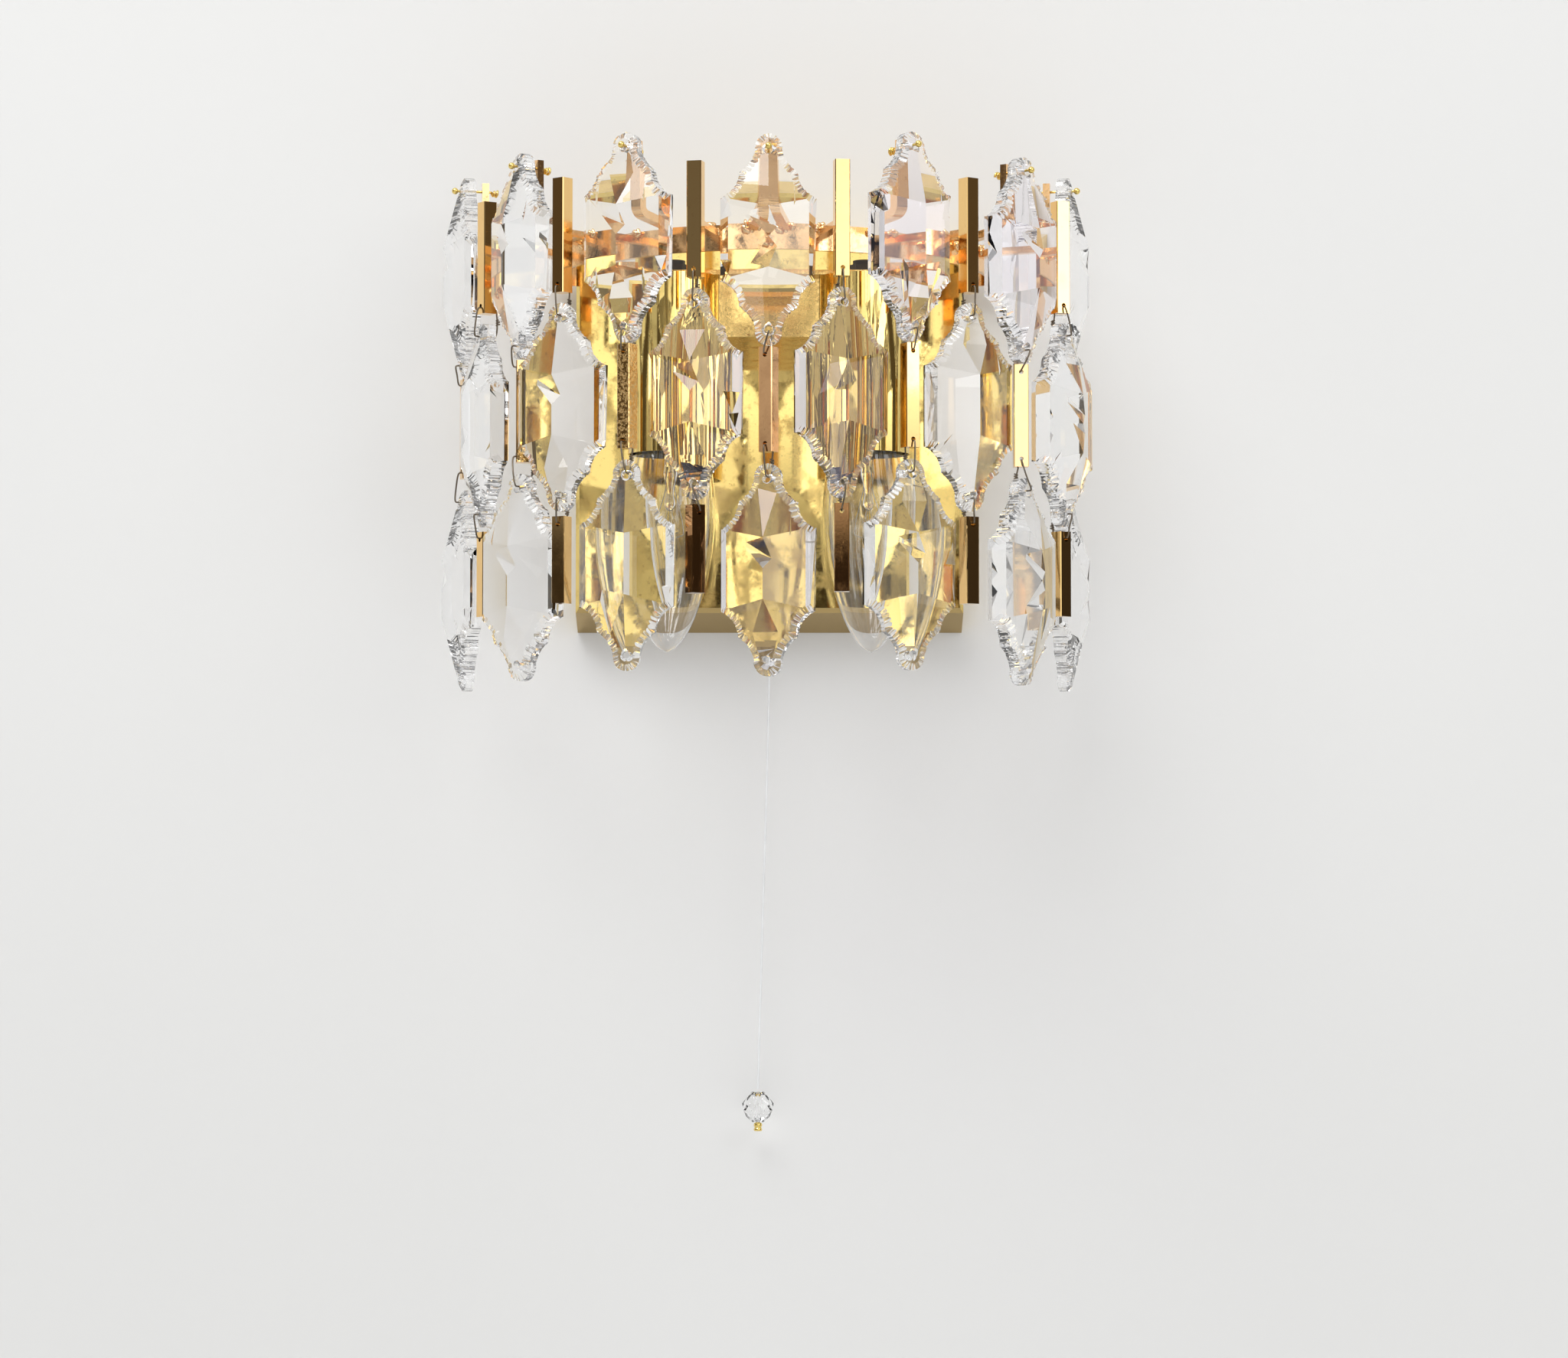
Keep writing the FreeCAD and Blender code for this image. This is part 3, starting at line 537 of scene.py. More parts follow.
def chippedQuarter(dice):
    # (rim point, point where the facets begin, how far the edge drops) along one quarter
    c = crystal
    spans = [math.hypot(b[0] - a[0], b[1] - a[1]) for a, b in zip(fineLine, fineLine[1:])]
    along = [0.0]
    for span in spans:
        along.append(along[-1] + span)
    total = along[-1]
    lobeFrom = along[cuspPlaces[1]]
    marks = [0.0]
    while marks[-1] < total - 1.2:
        marks.append(marks[-1] + dice.uniform(*c["chipLength"]))
    marks = [m * total / marks[-1] for m in marks]
    stops = []
    for a, b in zip(marks, marks[1:]):
        deep = dice.uniform(*c["chipDepth"])
        calm = c["lobeCalm"] if a > lobeFrom else 1.0
        low = dice.uniform(*c["chipFall"])
        lean = dice.uniform(0.2, 0.5)
        stops.append((a, 0.0, 0.88, low * dice.uniform(0.55, 0.95)))
        stops.append((a + (b - a) * lean, deep * calm, 1.0 + 0.25 * calm, low))
        stops.append((a + (b - a) * 0.8, deep * 0.6 * calm, 1.0 + 0.15 * calm, low))
    stops.append((total, 0.0, 1.0, 1.4))
    made = []
    for s, deep, wide, low in stops:
        i = min(range(len(along)), key=lambda k: abs(along[k] - s))
        (x, z), (nx, nz) = fineLine[i], fineNormals[i]
        rim = c["rim"] * wide
        inner = (x + nx * rim, z + nz * rim)
        if nearLine(*inner) < 0.93 * rim:  # past a cusp, so it slides to the cusp's own corner
            cusp = min(cuspPlaces, key=lambda p: abs(p - i))
            before, after = fineNormals[cusp - 2], fineNormals[cusp + 2]
            bx, bz = before[0] + after[0], before[1] + after[1]
            size = math.hypot(bx, bz)
            reach = c["rim"] / (size / 2)
            inner = (fineLine[cusp][0] + bx / size * reach, fineLine[cusp][1] + bz / size * reach)
        made.append(((x + nx * deep, z + nz * deep), inner, low))
    return made


def facetPlanes():
    # thickness = a x + b z + c for each facet
    c = crystal
    planes = []
    for side in (1, -1):
        planes.append((-c["sideFall"] * side, 0.0, c["ridge"]))
        planes.append((-c["bevelFall"] * side, 0.0, c["bevelEdge"] + c["bevelFall"] * c["width"] / 2))
        for up in (1, -1):
            planes.append((-c["endSideFall"] * side, -c["endFall"] * up,
                           c["ridge"] + c["endFall"] * c["ridgeHalf"]))
    return planes


facets = facetPlanes()


def thicknessAt(x, z):
    return min(a * x + b * z + c for a, b, c in facets)


def onSegment(x, z, a, b):
    dx, dz = b[0] - a[0], b[1] - a[1]
    size = dx * dx + dz * dz
    t = 0.0 if size < 1e-12 else max(0.0, min(1.0, ((x - a[0]) * dx + (z - a[1]) * dz) / size))
    return math.hypot(x - a[0] - dx * t, z - a[1] - dz * t), t


def crystalMesh(name, seed):
    dice = random.Random(seed)
    ring = []
    for side, up, forward in ((1, 1, True), (-1, 1, False), (-1, -1, True), (1, -1, False)):
        quarter = [((side * p[0], up * p[1]), (side * q[0], up * q[1]), low)
                   for p, q, low in chippedQuarter(dice)]
        corner = (side * crystal["width"] / 2, up * crystal["straightSide"] / 2)
        quarter[0] = (corner, corner, 0.0)
        if not forward:
            quarter.reverse()
            quarter = quarter[1:]
        ring += quarter
    ring.pop()  # the last tip is the third quarter's own
    ring = tidyRing(ring)
    bm = bmesh.new()
    face = bm.faces.new([bm.verts.new((q[0], 0, q[1])) for p, q, low in ring])
    cutByFacets(bm)
    for vert in bm.verts:
        vert.co.y = -thicknessAt(vert.co.x, vert.co.z)
    bmesh.ops.dissolve_limit(bm, angle_limit=math.radians(0.3), verts=bm.verts, edges=bm.edges,
                             use_dissolve_boundaries=False)
    rimAndBack(bm, ring)
    bmesh.ops.remove_doubles(bm, verts=bm.verts, dist=0.004)
    return meshFrom(bm, name)


def tidyRing(ring):
    # where facets begin at one point for several rim points, a hair apart keeps the outline simple
    kept, hair = [], 0.02
    for rimPoint, start, low in ring:
        if kept:
            rimBefore, startBefore = kept[-1][:2]
            if math.hypot(start[0] - startBefore[0], start[1] - startBefore[1]) < hair:
                start = (startBefore[0], startBefore[1] + math.copysign(hair, rimPoint[1] - rimBefore[1]))
        kept.append((rimPoint, start, low))
    return kept


def cutByFacets(bm):
    for i, (a1, b1, c1) in enumerate(facets):
        for a2, b2, c2 in facets[i + 1:]:
            a, b, c = a1 - a2, b1 - b2, c1 - c2
            size = a * a + b * b
            if size < 1e-9:
                continue
            point = Vector((-a * c / size, 0, -b * c / size))
            bmesh.ops.bisect_plane(bm, geom=bm.verts[:] + bm.edges[:] + bm.faces[:], dist=1e-5,
                                   plane_co=point, plane_no=Vector((a, 0, b)).normalized())


def rimAndBack(bm, ring):
    edges = [e for e in bm.edges if e.is_boundary]
    start = edges[0].verts[0]
    loop, edge = [start], edges[0]
    while True:
        vert = edge.other_vert(loop[-1])
        if vert is start:
            break
        loop.append(vert)
        edge = next(e for e in vert.link_edges if e.is_boundary and e is not edge)
    pairs = list(zip(ring, ring[1:] + ring[:1]))
    outer, back = [], []
    for vert in loop:
        x, z = vert.co.x, vert.co.z
        best = min(pairs, key=lambda pair: onSegment(x, z, pair[0][1], pair[1][1])[0])
        t = onSegment(x, z, best[0][1], best[1][1])[1]
        px, pz = (best[0][0][k] * (1 - t) + best[1][0][k] * t for k in (0, 1))
        low = best[0][2] * (1 - t) + best[1][2] * t
        edgeY = vert.co.y + min(low, -vert.co.y - 1.2)
        outer.append(bm.verts.new((px, edgeY, pz)))
        back.append(bm.verts.new((px, 0, pz)))
    for i in range(len(loop)):
        j = (i + 1) % len(loop)
        chipped = any(abs(v.co.z) > crystal["straightSide"] / 2 + 0.01 for v in (loop[i], loop[j]))
        rim = bm.faces.new((loop[i], loop[j], outer[j], outer[i]))
        side = bm.faces.new((outer[i], outer[j], back[j], back[i]))
        rim.material_index = side.material_index = int(chipped)
    bm.faces.new(back)


def holeCutter(seed):
    # two spindles, wider at both faces, with a chipped mouth
    c = crystal
    dice = random.Random(seed)
    bm = bmesh.new()
    holeZ = c["height"] / 2 - c["holeInset"]
    front = thicknessAt(0, holeZ)
    for up in (1, -1):
        turn = Matrix.Translation((0, 0, up * holeZ)) @ Matrix.Rotation(math.radians(90), 4, "X")
        profile = [(0, -3), (c["hole"] + 2.2, -3), (c["hole"] + 0.45, -0.05), (c["hole"], 0.7),
                   (c["hole"], front - 1.0), (c["hole"] + 0.55, front), (c["hole"] + 2.5, front + 4),
                   (0, front + 4)]
        rings = lathe(bm, profile, turn, 14)
        for ring in (rings[2], rings[5]):
            for vert in ring:
                away = vert.co - Vector((0, vert.co.y, up * holeZ))
                vert.co += away.normalized() * dice.uniform(-0.2, 0.25)
    for face in bm.faces:
        face.material_index = 1
    return meshFrom(bm, "cutter")


def boolean(mesh, cutterMesh):
    body = bpy.data.objects.new("body", mesh)
    cutter = bpy.data.objects.new("cutter", cutterMesh)
    for thing in (body, cutter):
        bpy.context.scene.collection.objects.link(thing)
    modifier = body.modifiers.new("holes", "BOOLEAN")
    modifier.operation, modifier.solver, modifier.object = "DIFFERENCE", "EXACT", cutter
    made = bpy.data.meshes.new_from_object(body.evaluated_get(bpy.context.evaluated_depsgraph_get()))
    for thing in (body, cutter):
        bpy.data.objects.remove(thing)
    return made


def placeCrystal(node, body, line, seed, glass):
    low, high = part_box(node)
    whole, cutter = crystalMesh("cut_" + node, seed), holeCutter(seed + 500)
    for mesh in (whole, cutter):
        mesh.materials.append(glass)
        mesh.materials.append(rimGlass)
    mesh = boolean(whole, cutter)
    mesh.name = "cut_" + node
    middle = Matrix.Translation((0, crystal["behind"], (low.z + high.z) / 2 / mm))
    mesh.transform(standAt(line, crystalFacing(node)) @ middle)
    fit(addObject("cut_" + node, mesh), body, "cut_crystal", node)


tinted = {"top": (5, 6), "mid": (3, 4), "low": (4,)}  # crystals with a faint lilac sheen
for k, line in enumerate(aLines, 1):
    for level, body, seed in (("top", "upper", 10), ("low", "lower", 30)):
        glass = lilacGlass if k in tinted[level] else cutGlass
        placeCrystal("%s_crystal_%d" % (level, k), "%s_hang_%d" % (body, k), line, seed + k, glass)
for k, line in enumerate(bLines, 1):
    glass = lilacGlass if k in tinted["mid"] else cutGlass
    placeCrystal("mid_crystal_%d" % k, "middle_hang_%d" % k, line, 50 + k, glass)
print("crystals cut:", 2 * aCount + bCount)


# wire loops between a crystal and a bar, bent by hand

wire = {"radius": 0.36, "back": -4.5, "barFront": 4.5, "crystalFront": 6.0,  # from the hanging line, outwards
        "aDrops": (8.9, 13.1), "bDrops": (12.6, 10.4), "wander": 0.55, "tail": 2.6, "lead": 1.6}


def wireLoop(bm, line, high, low, dice):
    # high and low are the runs through two pieces, (facing, front, height); bent legs join them,
    # and a short tail is wound round the leg behind
    w, back, lead = wire["wander"], wire["back"], wire["lead"]
    sway = [dice.uniform(-w, w) for _ in range(6)]
    bulge = dice.uniform(0.0, 0.5)
    (highFacing, highFront, highZ), (lowFacing, lowFront, lowZ) = high, low
    between = (highFacing + lowFacing).normalized()
    middle = (highZ + lowZ) / 2
    shape = [(highFacing, 0, back + lead, highZ), (highFacing, 0, highFront - lead, highZ),
             (highFacing, sway[0] * 0.3, highFront, highZ - 0.15),
             (between, sway[1], (highFront + lowFront) / 2 + bulge - 0.3, middle),
             (lowFacing, sway[2] * 0.3, lowFront, lowZ + 0.15), (lowFacing, 0, lowFront - lead, lowZ),
             (lowFacing, 0, back + lead, lowZ), (lowFacing, sway[3] * 0.3, back, lowZ + 0.2),
             (between, sway[4], back - bulge, middle), (highFacing, sway[5] * 0.3, back, highZ - 0.2)]
    controls = [standAt(line, facing) @ Vector((x, -out, z)) for facing, x, out, z in shape]
    tube(bm, smoothPath(controls, True, 6), wire["radius"] * mm, 8, True)
    side = 1 if dice.random() > 0.5 else -1
    tail, behind, coil = wire["tail"], back - bulge - 0.2, 0.75
    turns = []
    for i in range(21):
        a = i * math.pi / 4
        turns.append(standAt(line, between) @ Vector((
            sway[4] + side * coil * math.cos(a), -(behind + coil * math.sin(a)),
            middle - tail / 2 + tail * a / (5 * math.pi))))
    tube(bm, smoothPath(turns, False, 3), wire["radius"] * 0.9 * mm, 8)


def wiresFor(node, body, line, loops, seed):
    dice = random.Random(seed)
    bm = bmesh.new()
    for high, low in loops:
        wireLoop(bm, line, high, low, dice)
    fit(addObject("bent_" + node, meshFrom(bm, "bent_" + node, True), darkWire), body, "dark_wire", node)


atBar, atCrystal = wire["barFront"], wire["crystalFront"]
for k, line in enumerate(aLines, 1):
    high, low = heightOf("mid_bar_%d_sway" % k), heightOf("low_crystal_%d_sway" % k)
    drops, outward = wire["aDrops"], (line - ringCentre).normalized()
    bar = barFacing("mid_bar_%d" % k, outward)
    wiresFor("a_wires_%d" % k, "bar_hang_%d" % k, line,
             [((crystalFacing("top_crystal_%d" % k), atCrystal, high), (bar, atBar, high - drops[0])),
              ((bar, atBar, low + drops[1]), (crystalFacing("low_crystal_%d" % k), atCrystal, low))], 70 + k)
for k, line in enumerate(bLines, 1):
    high, low = heightOf("mid_crystal_%d_sway" % k), heightOf("low_bar_%d_sway" % k)
    drops, outward = wire["bDrops"], (line - ringCentre).normalized()
    upper = Vector(joints["mid_crystal_%d_sway" % k]["axis"])
    crystalWay = crystalFacing("mid_crystal_%d" % k)
    bar = barFacing("low_bar_%d" % k, outward)
    wiresFor("b_wires_%d" % k, "middle_hang_%d" % k, line,
             [((upper, atBar, high), (crystalWay, atCrystal, high - drops[0])),
              ((crystalWay, atCrystal, low + drops[1]), (bar, atBar, low))], 90 + k)
print("wire loops bent:", 2 * (aCount + bCount))


# pins with a ball head in front, and a tail curled up behind the arm

pin = {"radius": 0.55, "head": 1.45, "headOut": 6.3, "armBack": -8.6, "coil": 1.5, "coilTurns": 2.2}


def ballPins():
    bm = bmesh.new()
    dice = random.Random(7)
    for k, line in enumerate(aLines, 1):
        z = heightOf("top_crystal_%d_sway" % k)
        stand = standAt(line, Vector(joints["top_crystal_%d_sway" % k]["axis"]))
        head = stand @ Vector((0, -pin["headOut"], z))
        bmesh.ops.create_icosphere(bm, subdivisions=4, radius=pin["head"] * mm,
                                   matrix=Matrix.Translation(head))
        path = [(0, -pin["headOut"], z), (0, -pin["headOut"] + 5, z), (0, -pin["armBack"] - 1, z),
                (0, -pin["armBack"] + 0.8, z)]
        turn, size = dice.uniform(0, 6.28), pin["coil"]
        steps = 18
        for i in range(steps + 1):
            a = turn + 2 * math.pi * pin["coilTurns"] * i / steps
            grow = size * (0.55 + 0.45 * i / steps)
            path.append((grow * math.cos(a), -pin["armBack"] + 1.5 + 0.16 * i, z - 0.6 + grow * math.sin(a)))
        tube(bm, smoothPath([stand @ Vector(p) for p in path], False, 5), pin["radius"] * mm, 10)
    return meshFrom(bm, "ball_pins", True)


fit(addObject("ball_pins", ballPins(), pinBrass), "root", "pin_brass", "crystal_pins")
print("pins made")


# solder where each arm meets the band

solder = {"outerRadius": 98.2, "height": 81.2, "size": (1.4, 2.4), "reach": 3.2}


def solderLumps():
    bm = bmesh.new()
    dice = random.Random(21)
    for line in aLines + bLines:
        hang = line - ringCentre
        spoke = Matrix.Translation(ringCentre) @ Matrix.Rotation(math.atan2(hang.x, -hang.y), 4, "Z")
        for _ in range(7):
            x = dice.uniform(-solder["reach"], solder["reach"])
            r = solder["outerRadius"] + dice.uniform(-0.8, 1.2)
            z = solder["height"] + dice.uniform(-1.6, 1.4)
            size = dice.uniform(*solder["size"]) * mm
            squash = Matrix.Diagonal((1.0, dice.uniform(0.5, 0.8), dice.uniform(0.5, 0.9), 1))
            spin = Matrix.Rotation(dice.uniform(0, 3.1), 4, "Y")
            spot = spoke @ Matrix.Translation(Vector((x, -r, z)) * mm)
            made = bmesh.ops.create_icosphere(bm, subdivisions=3, radius=size, matrix=spot @ spin @ squash)
            for vert in made["verts"]:
                centre = spot.to_translation()
                wobble = noise.noise(vert.co / mm * 0.55) * 0.35
                vert.co = centre + (vert.co - centre) * (1 + wobble)
    return meshFrom(bm, "solder_lumps", True)


fit(addObject("solder_lumps", solderLumps(), solderGilt), "root", "gilt_brass")
print("solder made")


# bulbs: clear candle glass with a stem, two leads and a filament, cap above

bulb = {
    "x": 41.0, "y": -80.0, "capTop": 40.0, "tilt": 1.2, "wall": 0.55,
    "glass": [(8.6, 13.5), (12.0, 4.5), (15.4, -6.5), (18.4, -20.5), (19.6, -36.5), (18.4, -55.5),
              (14.6, -72.5), (9.6, -85.5), (4.6, -93.0), (0.0, -95.6)],
    "stem": [(5.4, 12.6), (4.6, 4.0), (3.2, -6.0), (2.7, -14.0), (3.0, -19.0), (2.2, -23.5), (1.5, -27.0),
             (2.1, -30.0), (2.3, -32.0), (1.4, -34.2), (0.0, -34.8)],
    "cap": [(0, 40.0), (4.8, 40.0), (4.8, 37.4), (6.6, 36.6)],
    "thread": (34.5, 17.5, 6.75, 0.35, 6),  # from and to height, radius, depth, turns
    "collar": [(7.4, 16.6), (8.4, 13.6), (7.8, 13.2), (0, 13.2)],
}


def bulbMatrix(side):
    pivot = Vector((0, 0, bulb["capTop"]))
    tilt = Matrix.Translation(pivot) @ Matrix.Rotation(math.radians(-bulb["tilt"] * side), 4, "Y")
    centre = Matrix.Translation((bulb["x"] * side, bulb["y"], 0))
    return Matrix.Scale(mm, 4) @ centre @ tilt @ Matrix.Translation(-pivot)


def glassBulb(side):
    outer = curvedProfile(bulb["glass"], 6)
    inner = [(max(r - bulb["wall"], 0.0), z) for r, z in outer[:-1]]
    inner.append((0.0, outer[-1][1] + bulb["wall"] * 1.2))
    bm = bmesh.new()
    lathe(bm, outer[::-1] + inner, bulbMatrix(side), 72)
    return meshFrom(bm, "bulb_glass", True)


def stemMesh(side):
    bm = bmesh.new()
    lathe(bm, curvedProfile(bulb["stem"], 4), bulbMatrix(side), 28)
    return meshFrom(bm, "bulb_stem", True)


def leadsMesh(side):
    bm = bmesh.new()
    matrix = bulbMatrix(side)
    for hand in (1, -1):
        path = [(1.0 * hand, 0, -16), (1.3 * hand, 0, -24), (4.0 * hand, 0.3, -33), (6.2 * hand, 0.4, -42),
                (6.0 * hand, 0.2, -45)]
        tube(bm, smoothPath([matrix @ Vector(p) for p in path], False, 5), 0.18 * mm, 8)
    for hand in (1, 0, -1):
        low = -45 if hand == 0 else -43
        path = [(0.4 * hand, 0.4, -33), (1.6 * hand, 1.6, -37), (2.4 * hand, 1.0, low)]
        tube(bm, smoothPath([matrix @ Vector(p) for p in path], False, 4), 0.10 * mm, 6)
    turns, steps = 34, 8
    path = []
    for i in range(turns * steps + 1):
        t = i / (turns * steps)
        a = 2 * math.pi * i / steps
        sag = -45 - 1.6 * math.sin(math.pi * t)
        path.append(matrix @ Vector((6.0 - 12.0 * t, 0.2 + 0.34 * math.cos(a), sag + 0.34 * math.sin(a))))
    tube(bm, path, 0.07 * mm, 5)
    return meshFrom(bm, "bulb_leads", True)


def capMesh(side):
    top, low, radius, depth, turns = bulb["thread"]
    profile = list(bulb["cap"])
    steps = turns * 8
    for i in range(steps + 1):
        z = top + (low - top) * i / steps
        profile.append((radius + depth * math.cos(2 * math.pi * i / 8), z))
    profile += bulb["collar"]
    bm = bmesh.new()
    lathe(bm, profile, bulbMatrix(side), 40)
    return meshFrom(bm, "bulb_cap", True)


for side, hand in ((1, "right"), (-1, "left")):
    fit(addObject("bulb_glass_" + hand, glassBulb(side), bulbGlass), "root", "bulb_glass", "bulbs")
    fit(addObject("bulb_stem_" + hand, stemMesh(side), bulbGlass), "root", "bulb_glass")
    fit(addObject("bulb_leads_" + hand, leadsMesh(side), leadSteel), "root", "dark_wire")
    fit(addObject("bulb_cap_" + hand, capMesh(side), pinBrass), "root", "pin_brass")
print("bulbs made")


# pull: clear thread, cut bead and its crimp

bead = {"centre": (-5.1, -11.0, -292.0), "radius": 7.0, "sides": 8, "bore": 0.95,
        # radius, height and turn in sides
        "rings": [(2.7, 6.6, 0), (5.2, 4.3, 0.5), (6.9, 1.5, 0), (6.9, -1.5, 0.5), (5.2, -4.3, 0),
                  (2.7, -6.6, 0.5)],
        "crimp": [(0, -6.6), (1.2, -6.9), (1.75, -7.4), (1.85, -8.3), (1.5, -9.0), (1.85, -9.8), (1.6, -10.6),
                  (0, -10.7)]}
thread = {"diameter": 0.9, "length": 214.0,
          "route": [(0, -11, -70), (0, -11, -94), (-0.6, -11.2, -124), (-1.4, -11.5, -156),
                    (-2.5, -11.6, -190), (-3.4, -11.4, -224), (-4.4, -11.1, -256), (-5.1, -11, -284)]}


def beadMesh():
    bm = bmesh.new()
    for radius, height, turn in bead["rings"]:
        for i in range(bead["sides"]):
            a = 2 * math.pi * (i + turn) / bead["sides"]
            bm.verts.new((radius * math.cos(a), radius * math.sin(a), height))
    bmesh.ops.convex_hull(bm, input=bm.verts)
    bmesh.ops.dissolve_limit(bm, angle_limit=math.radians(1), verts=bm.verts, edges=bm.edges)
    cutter = bmesh.new()
    lathe(cutter, [(0, -9), (bead["bore"], -9), (bead["bore"], 9), (0, 9)], Matrix.Identity(4), 16)
    mesh = boolean(meshFrom(bm, "bead"), meshFrom(cutter, "bore"))
    mesh.transform(Matrix.Scale(mm, 4) @ Matrix.Translation(bead["centre"]))
    return mesh


def crimpMesh():
    bm = bmesh.new()
    lathe(bm, curvedProfile(bead["crimp"], 3), Matrix.Scale(mm, 4) @ Matrix.Translation(bead["centre"]), 24)
    return meshFrom(bm, "crimp", True)


def makePull():
    beadPiece = fit(addObject("cut_bead", beadMesh(), cutGlass), "pull", "cut_crystal", "pull_bead")
    crimp = fit(addObject("bead_crimp", crimpMesh(), pinBrass), "pull", "pin_brass")
    curve = bpy.data.curves.new("pull_line", "CURVE")
    curve.dimensions = "3D"
    curve.resolution_u = 16
    curve.bevel_depth = thread["diameter"] / 2 * mm
    curve.bevel_resolution = 4
    curve.use_fill_caps = True
    spline = curve.splines.new("NURBS")
    spline.points.add(len(thread["route"]) - 1)
    for slot, point in zip(spline.points, thread["route"]):
        slot.co = (*(Vector(point) * mm), 1)
    spline.order_u = 3
    spline.use_endpoint_u = True
    line = fit(addObject("pull_line", curve, clearNylon), "pull", "clear_thread", "pull_thread")


makePull()
print("pull thread and bead made")


# stage: pale wall behind, pale floor well below

stage = {"wall": (0.80, 0.80, 0.79), "floor": (0.74, 0.74, 0.73), "half": 3000, "floorZ": -1100,
         "gap": 0.4, "inset": 4.0}


def flat(name, corners, colour, openBehind=False):
    # four corners, or eight for a sheet with a square gap in it
    faces = [(0, 1, 2, 3)]
    if len(corners) == 8:
        faces = [(i, (i + 1) % 4, (i + 1) % 4 + 4, i + 4) for i in range(4)]
    mesh = bpy.data.meshes.new(name)
    mesh.from_pydata([Vector(c) * mm for c in corners], [], faces)
    material, tree, shader = newMaterial(name)
    speck = ramp(tree, noiseOf(tree, 3, 2, 0.5), 0.3, 0.7, 0, 1)
    darker = tuple(v * 0.985 for v in colour)
    link(tree, tint(tree, speck, colour, darker), shader.inputs["Base Color"])
    shader.inputs["Roughness"].default_value = 0.9
    shader.inputs["Specular IOR Level"].default_value = 0.1
    if openBehind:  # seen from behind the wall isn't there, so that the back can be looked at
        back = add(tree, "ShaderNodeNewGeometry")
        clear = add(tree, "ShaderNodeBsdfTransparent")
        mixer = add(tree, "ShaderNodeMixShader")
        link(tree, back.outputs["Backfacing"], mixer.inputs["Fac"])
        link(tree, shader.outputs["BSDF"], mixer.inputs[1])
        link(tree, clear.outputs["BSDF"], mixer.inputs[2])
        link(tree, mixer.outputs["Shader"], tree.nodes["Material Output"].inputs["Surface"])
    addObject(name, mesh, material)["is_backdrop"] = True


h, gap, floorZ = stage["half"], stage["gap"], stage["floorZ"]
inset = stage["inset"]  # the wall is open behind the tray, so that light reaches into it from behind
trayLow, trayHigh = (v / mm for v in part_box("wall_tray"))
left, right, under, over = trayLow.x + inset, trayHigh.x - inset, trayLow.z + inset, trayHigh.z - inset
flat("wall", [(-h, gap, floorZ), (h, gap, floorZ), (h, gap, h), (-h, gap, h),
              (left, gap, under), (right, gap, under), (right, gap, over), (left, gap, over)],
     stage["wall"], True)
flat("floor", [(-h, -h, floorZ), (h, -h, floorZ), (h, h, floorZ), (-h, h, floorZ)], stage["floor"])


# light: large soft lamps, and a pale room with a dark strip at eye height

lamps = [
    {"name": "key", "at": (-800, -1500, 2000), "size": (1700, 1200), "power": 41, "tone": (0.98, 0.99, 1.0)},
    {"name": "fill", "at": (1600, -1915, 880), "size": (1500, 1200), "power": 12, "tone": (0.98, 0.99, 1.0)},
]
aim = Vector((0, -60, 0))
for lamp in lamps:
    data = bpy.data.lights.new(lamp["name"], "AREA")
    data.shape = "RECTANGLE"
    data.size, data.size_y = (v * mm for v in lamp["size"])
    data.energy = lamp["power"]
    data.color = lamp["tone"]
    thing = bpy.data.objects.new(lamp["name"], data)
    thing.location = Vector(lamp["at"]) * mm
    thing.rotation_mode = "QUATERNION"
    thing.rotation_quaternion = (aim - Vector(lamp["at"])).to_track_quat("-Z", "Y")
    bpy.context.scene.collection.objects.link(thing)

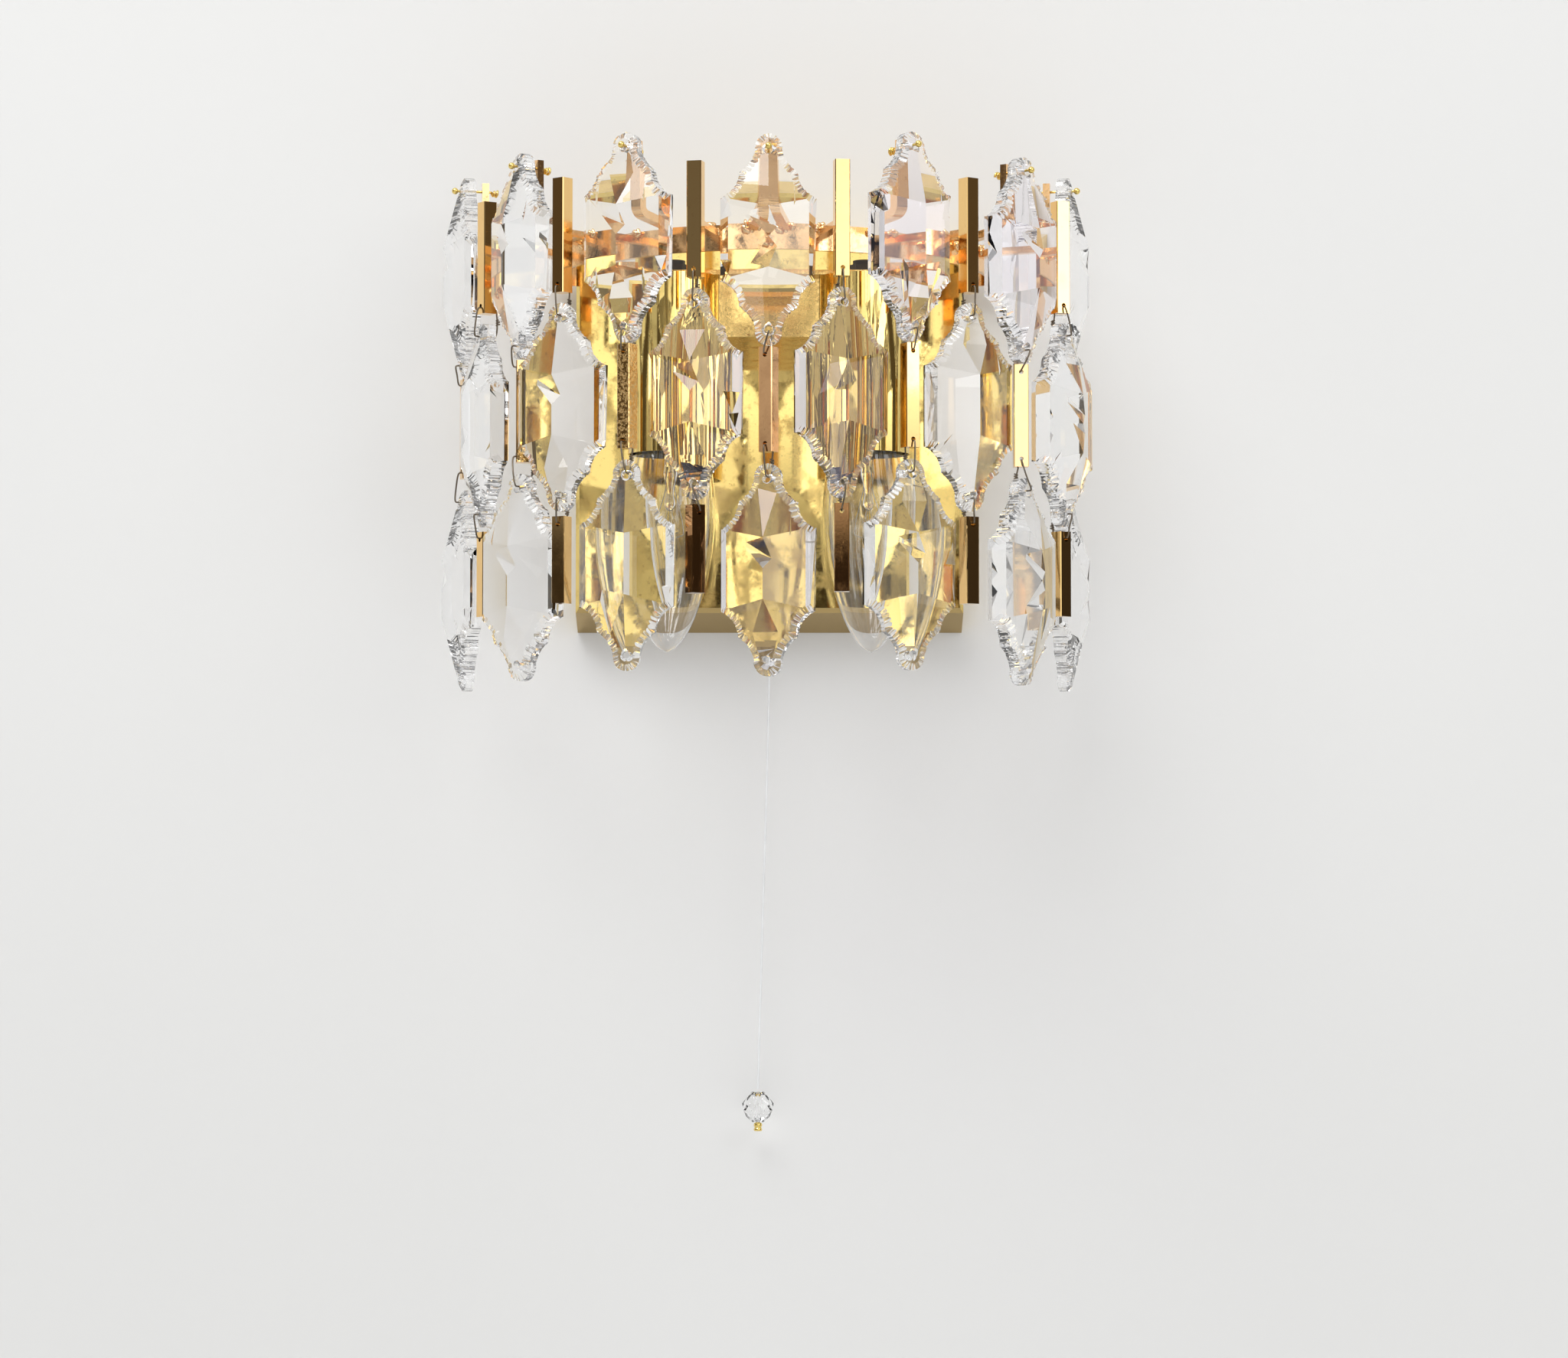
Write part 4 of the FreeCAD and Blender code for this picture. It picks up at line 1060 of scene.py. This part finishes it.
room = {
    "low": (0.62, 0.60, 0.58), "dark": (0.045, 0.036, 0.028), "middle": (0.10, 0.080, 0.060),
    "high": (0.84, 0.845, 0.86),
    # heights at which one tone gives way to the next, as the upward part of the direction
    "lowTo": 0.005, "darkFrom": 0.025, "darkTo": 0.085, "middleFrom": 0.11, "highFrom": 0.26, "highTo": 0.66,
    "strength": 0.9, "softEdge": 0.03,
    # other parts of the room: from and to in radians to the right, lower and upper edge, brightness
    "panels": [(-0.16, 1.00, 0.096, 0.20, 1.9), (-1.10, -0.72, 0.096, 0.24, 0.60),
               (-0.56, -0.40, 0.11, 0.2, 0.2), (0.09, 0.42, 0.02, 0.20, 2.6), (-0.42, -0.09, 0.02, 0.20, 1.5),
               (1.58, 1.9, 0.02, 0.5, 0.6), (-1.9, -1.58, 0.02, 0.5, 0.6)],
}


def makeRoom():
    world = bpy.data.worlds.new("room")
    bpy.context.scene.world = world
    world.use_nodes = True
    tree = world.node_tree
    sky = tree.nodes["Background"]
    parts = add(tree, "ShaderNodeSeparateXYZ")
    link(tree, add(tree, "ShaderNodeTexCoord").outputs["Generated"], parts.inputs["Vector"])
    x, y, z = (parts.outputs[k] for k in "XYZ")
    turn = calc(tree, "ARCTAN2", x, calc(tree, "MULTIPLY", y, -1.0))
    colour = tint(tree, ramp(tree, z, room["lowTo"], room["darkFrom"]), room["low"], room["dark"])
    colour = tint(tree, ramp(tree, z, room["darkTo"], room["middleFrom"]), colour, room["middle"])
    colour = tint(tree, ramp(tree, z, room["highFrom"], room["highTo"]), colour, room["high"])
    soft = room["softEdge"]
    for left, right, low, high, bright in room["panels"]:
        across = calc(tree, "MULTIPLY", ramp(tree, turn, left - soft, left + soft),
                      ramp(tree, turn, right + soft, right - soft))
        upward = calc(tree, "MULTIPLY", ramp(tree, z, low - soft / 2, low + soft / 2),
                      ramp(tree, z, high + 0.1, high - 0.1))
        colour = tint(tree, calc(tree, "MULTIPLY", across, upward), colour, (bright, bright, bright))
    link(tree, colour, sky.inputs["Color"])
    sky.inputs["Strength"].default_value = room["strength"]


makeRoom()
bpy.context.scene.view_settings.view_transform = "Standard"
print("stage and light ready")

low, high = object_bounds()
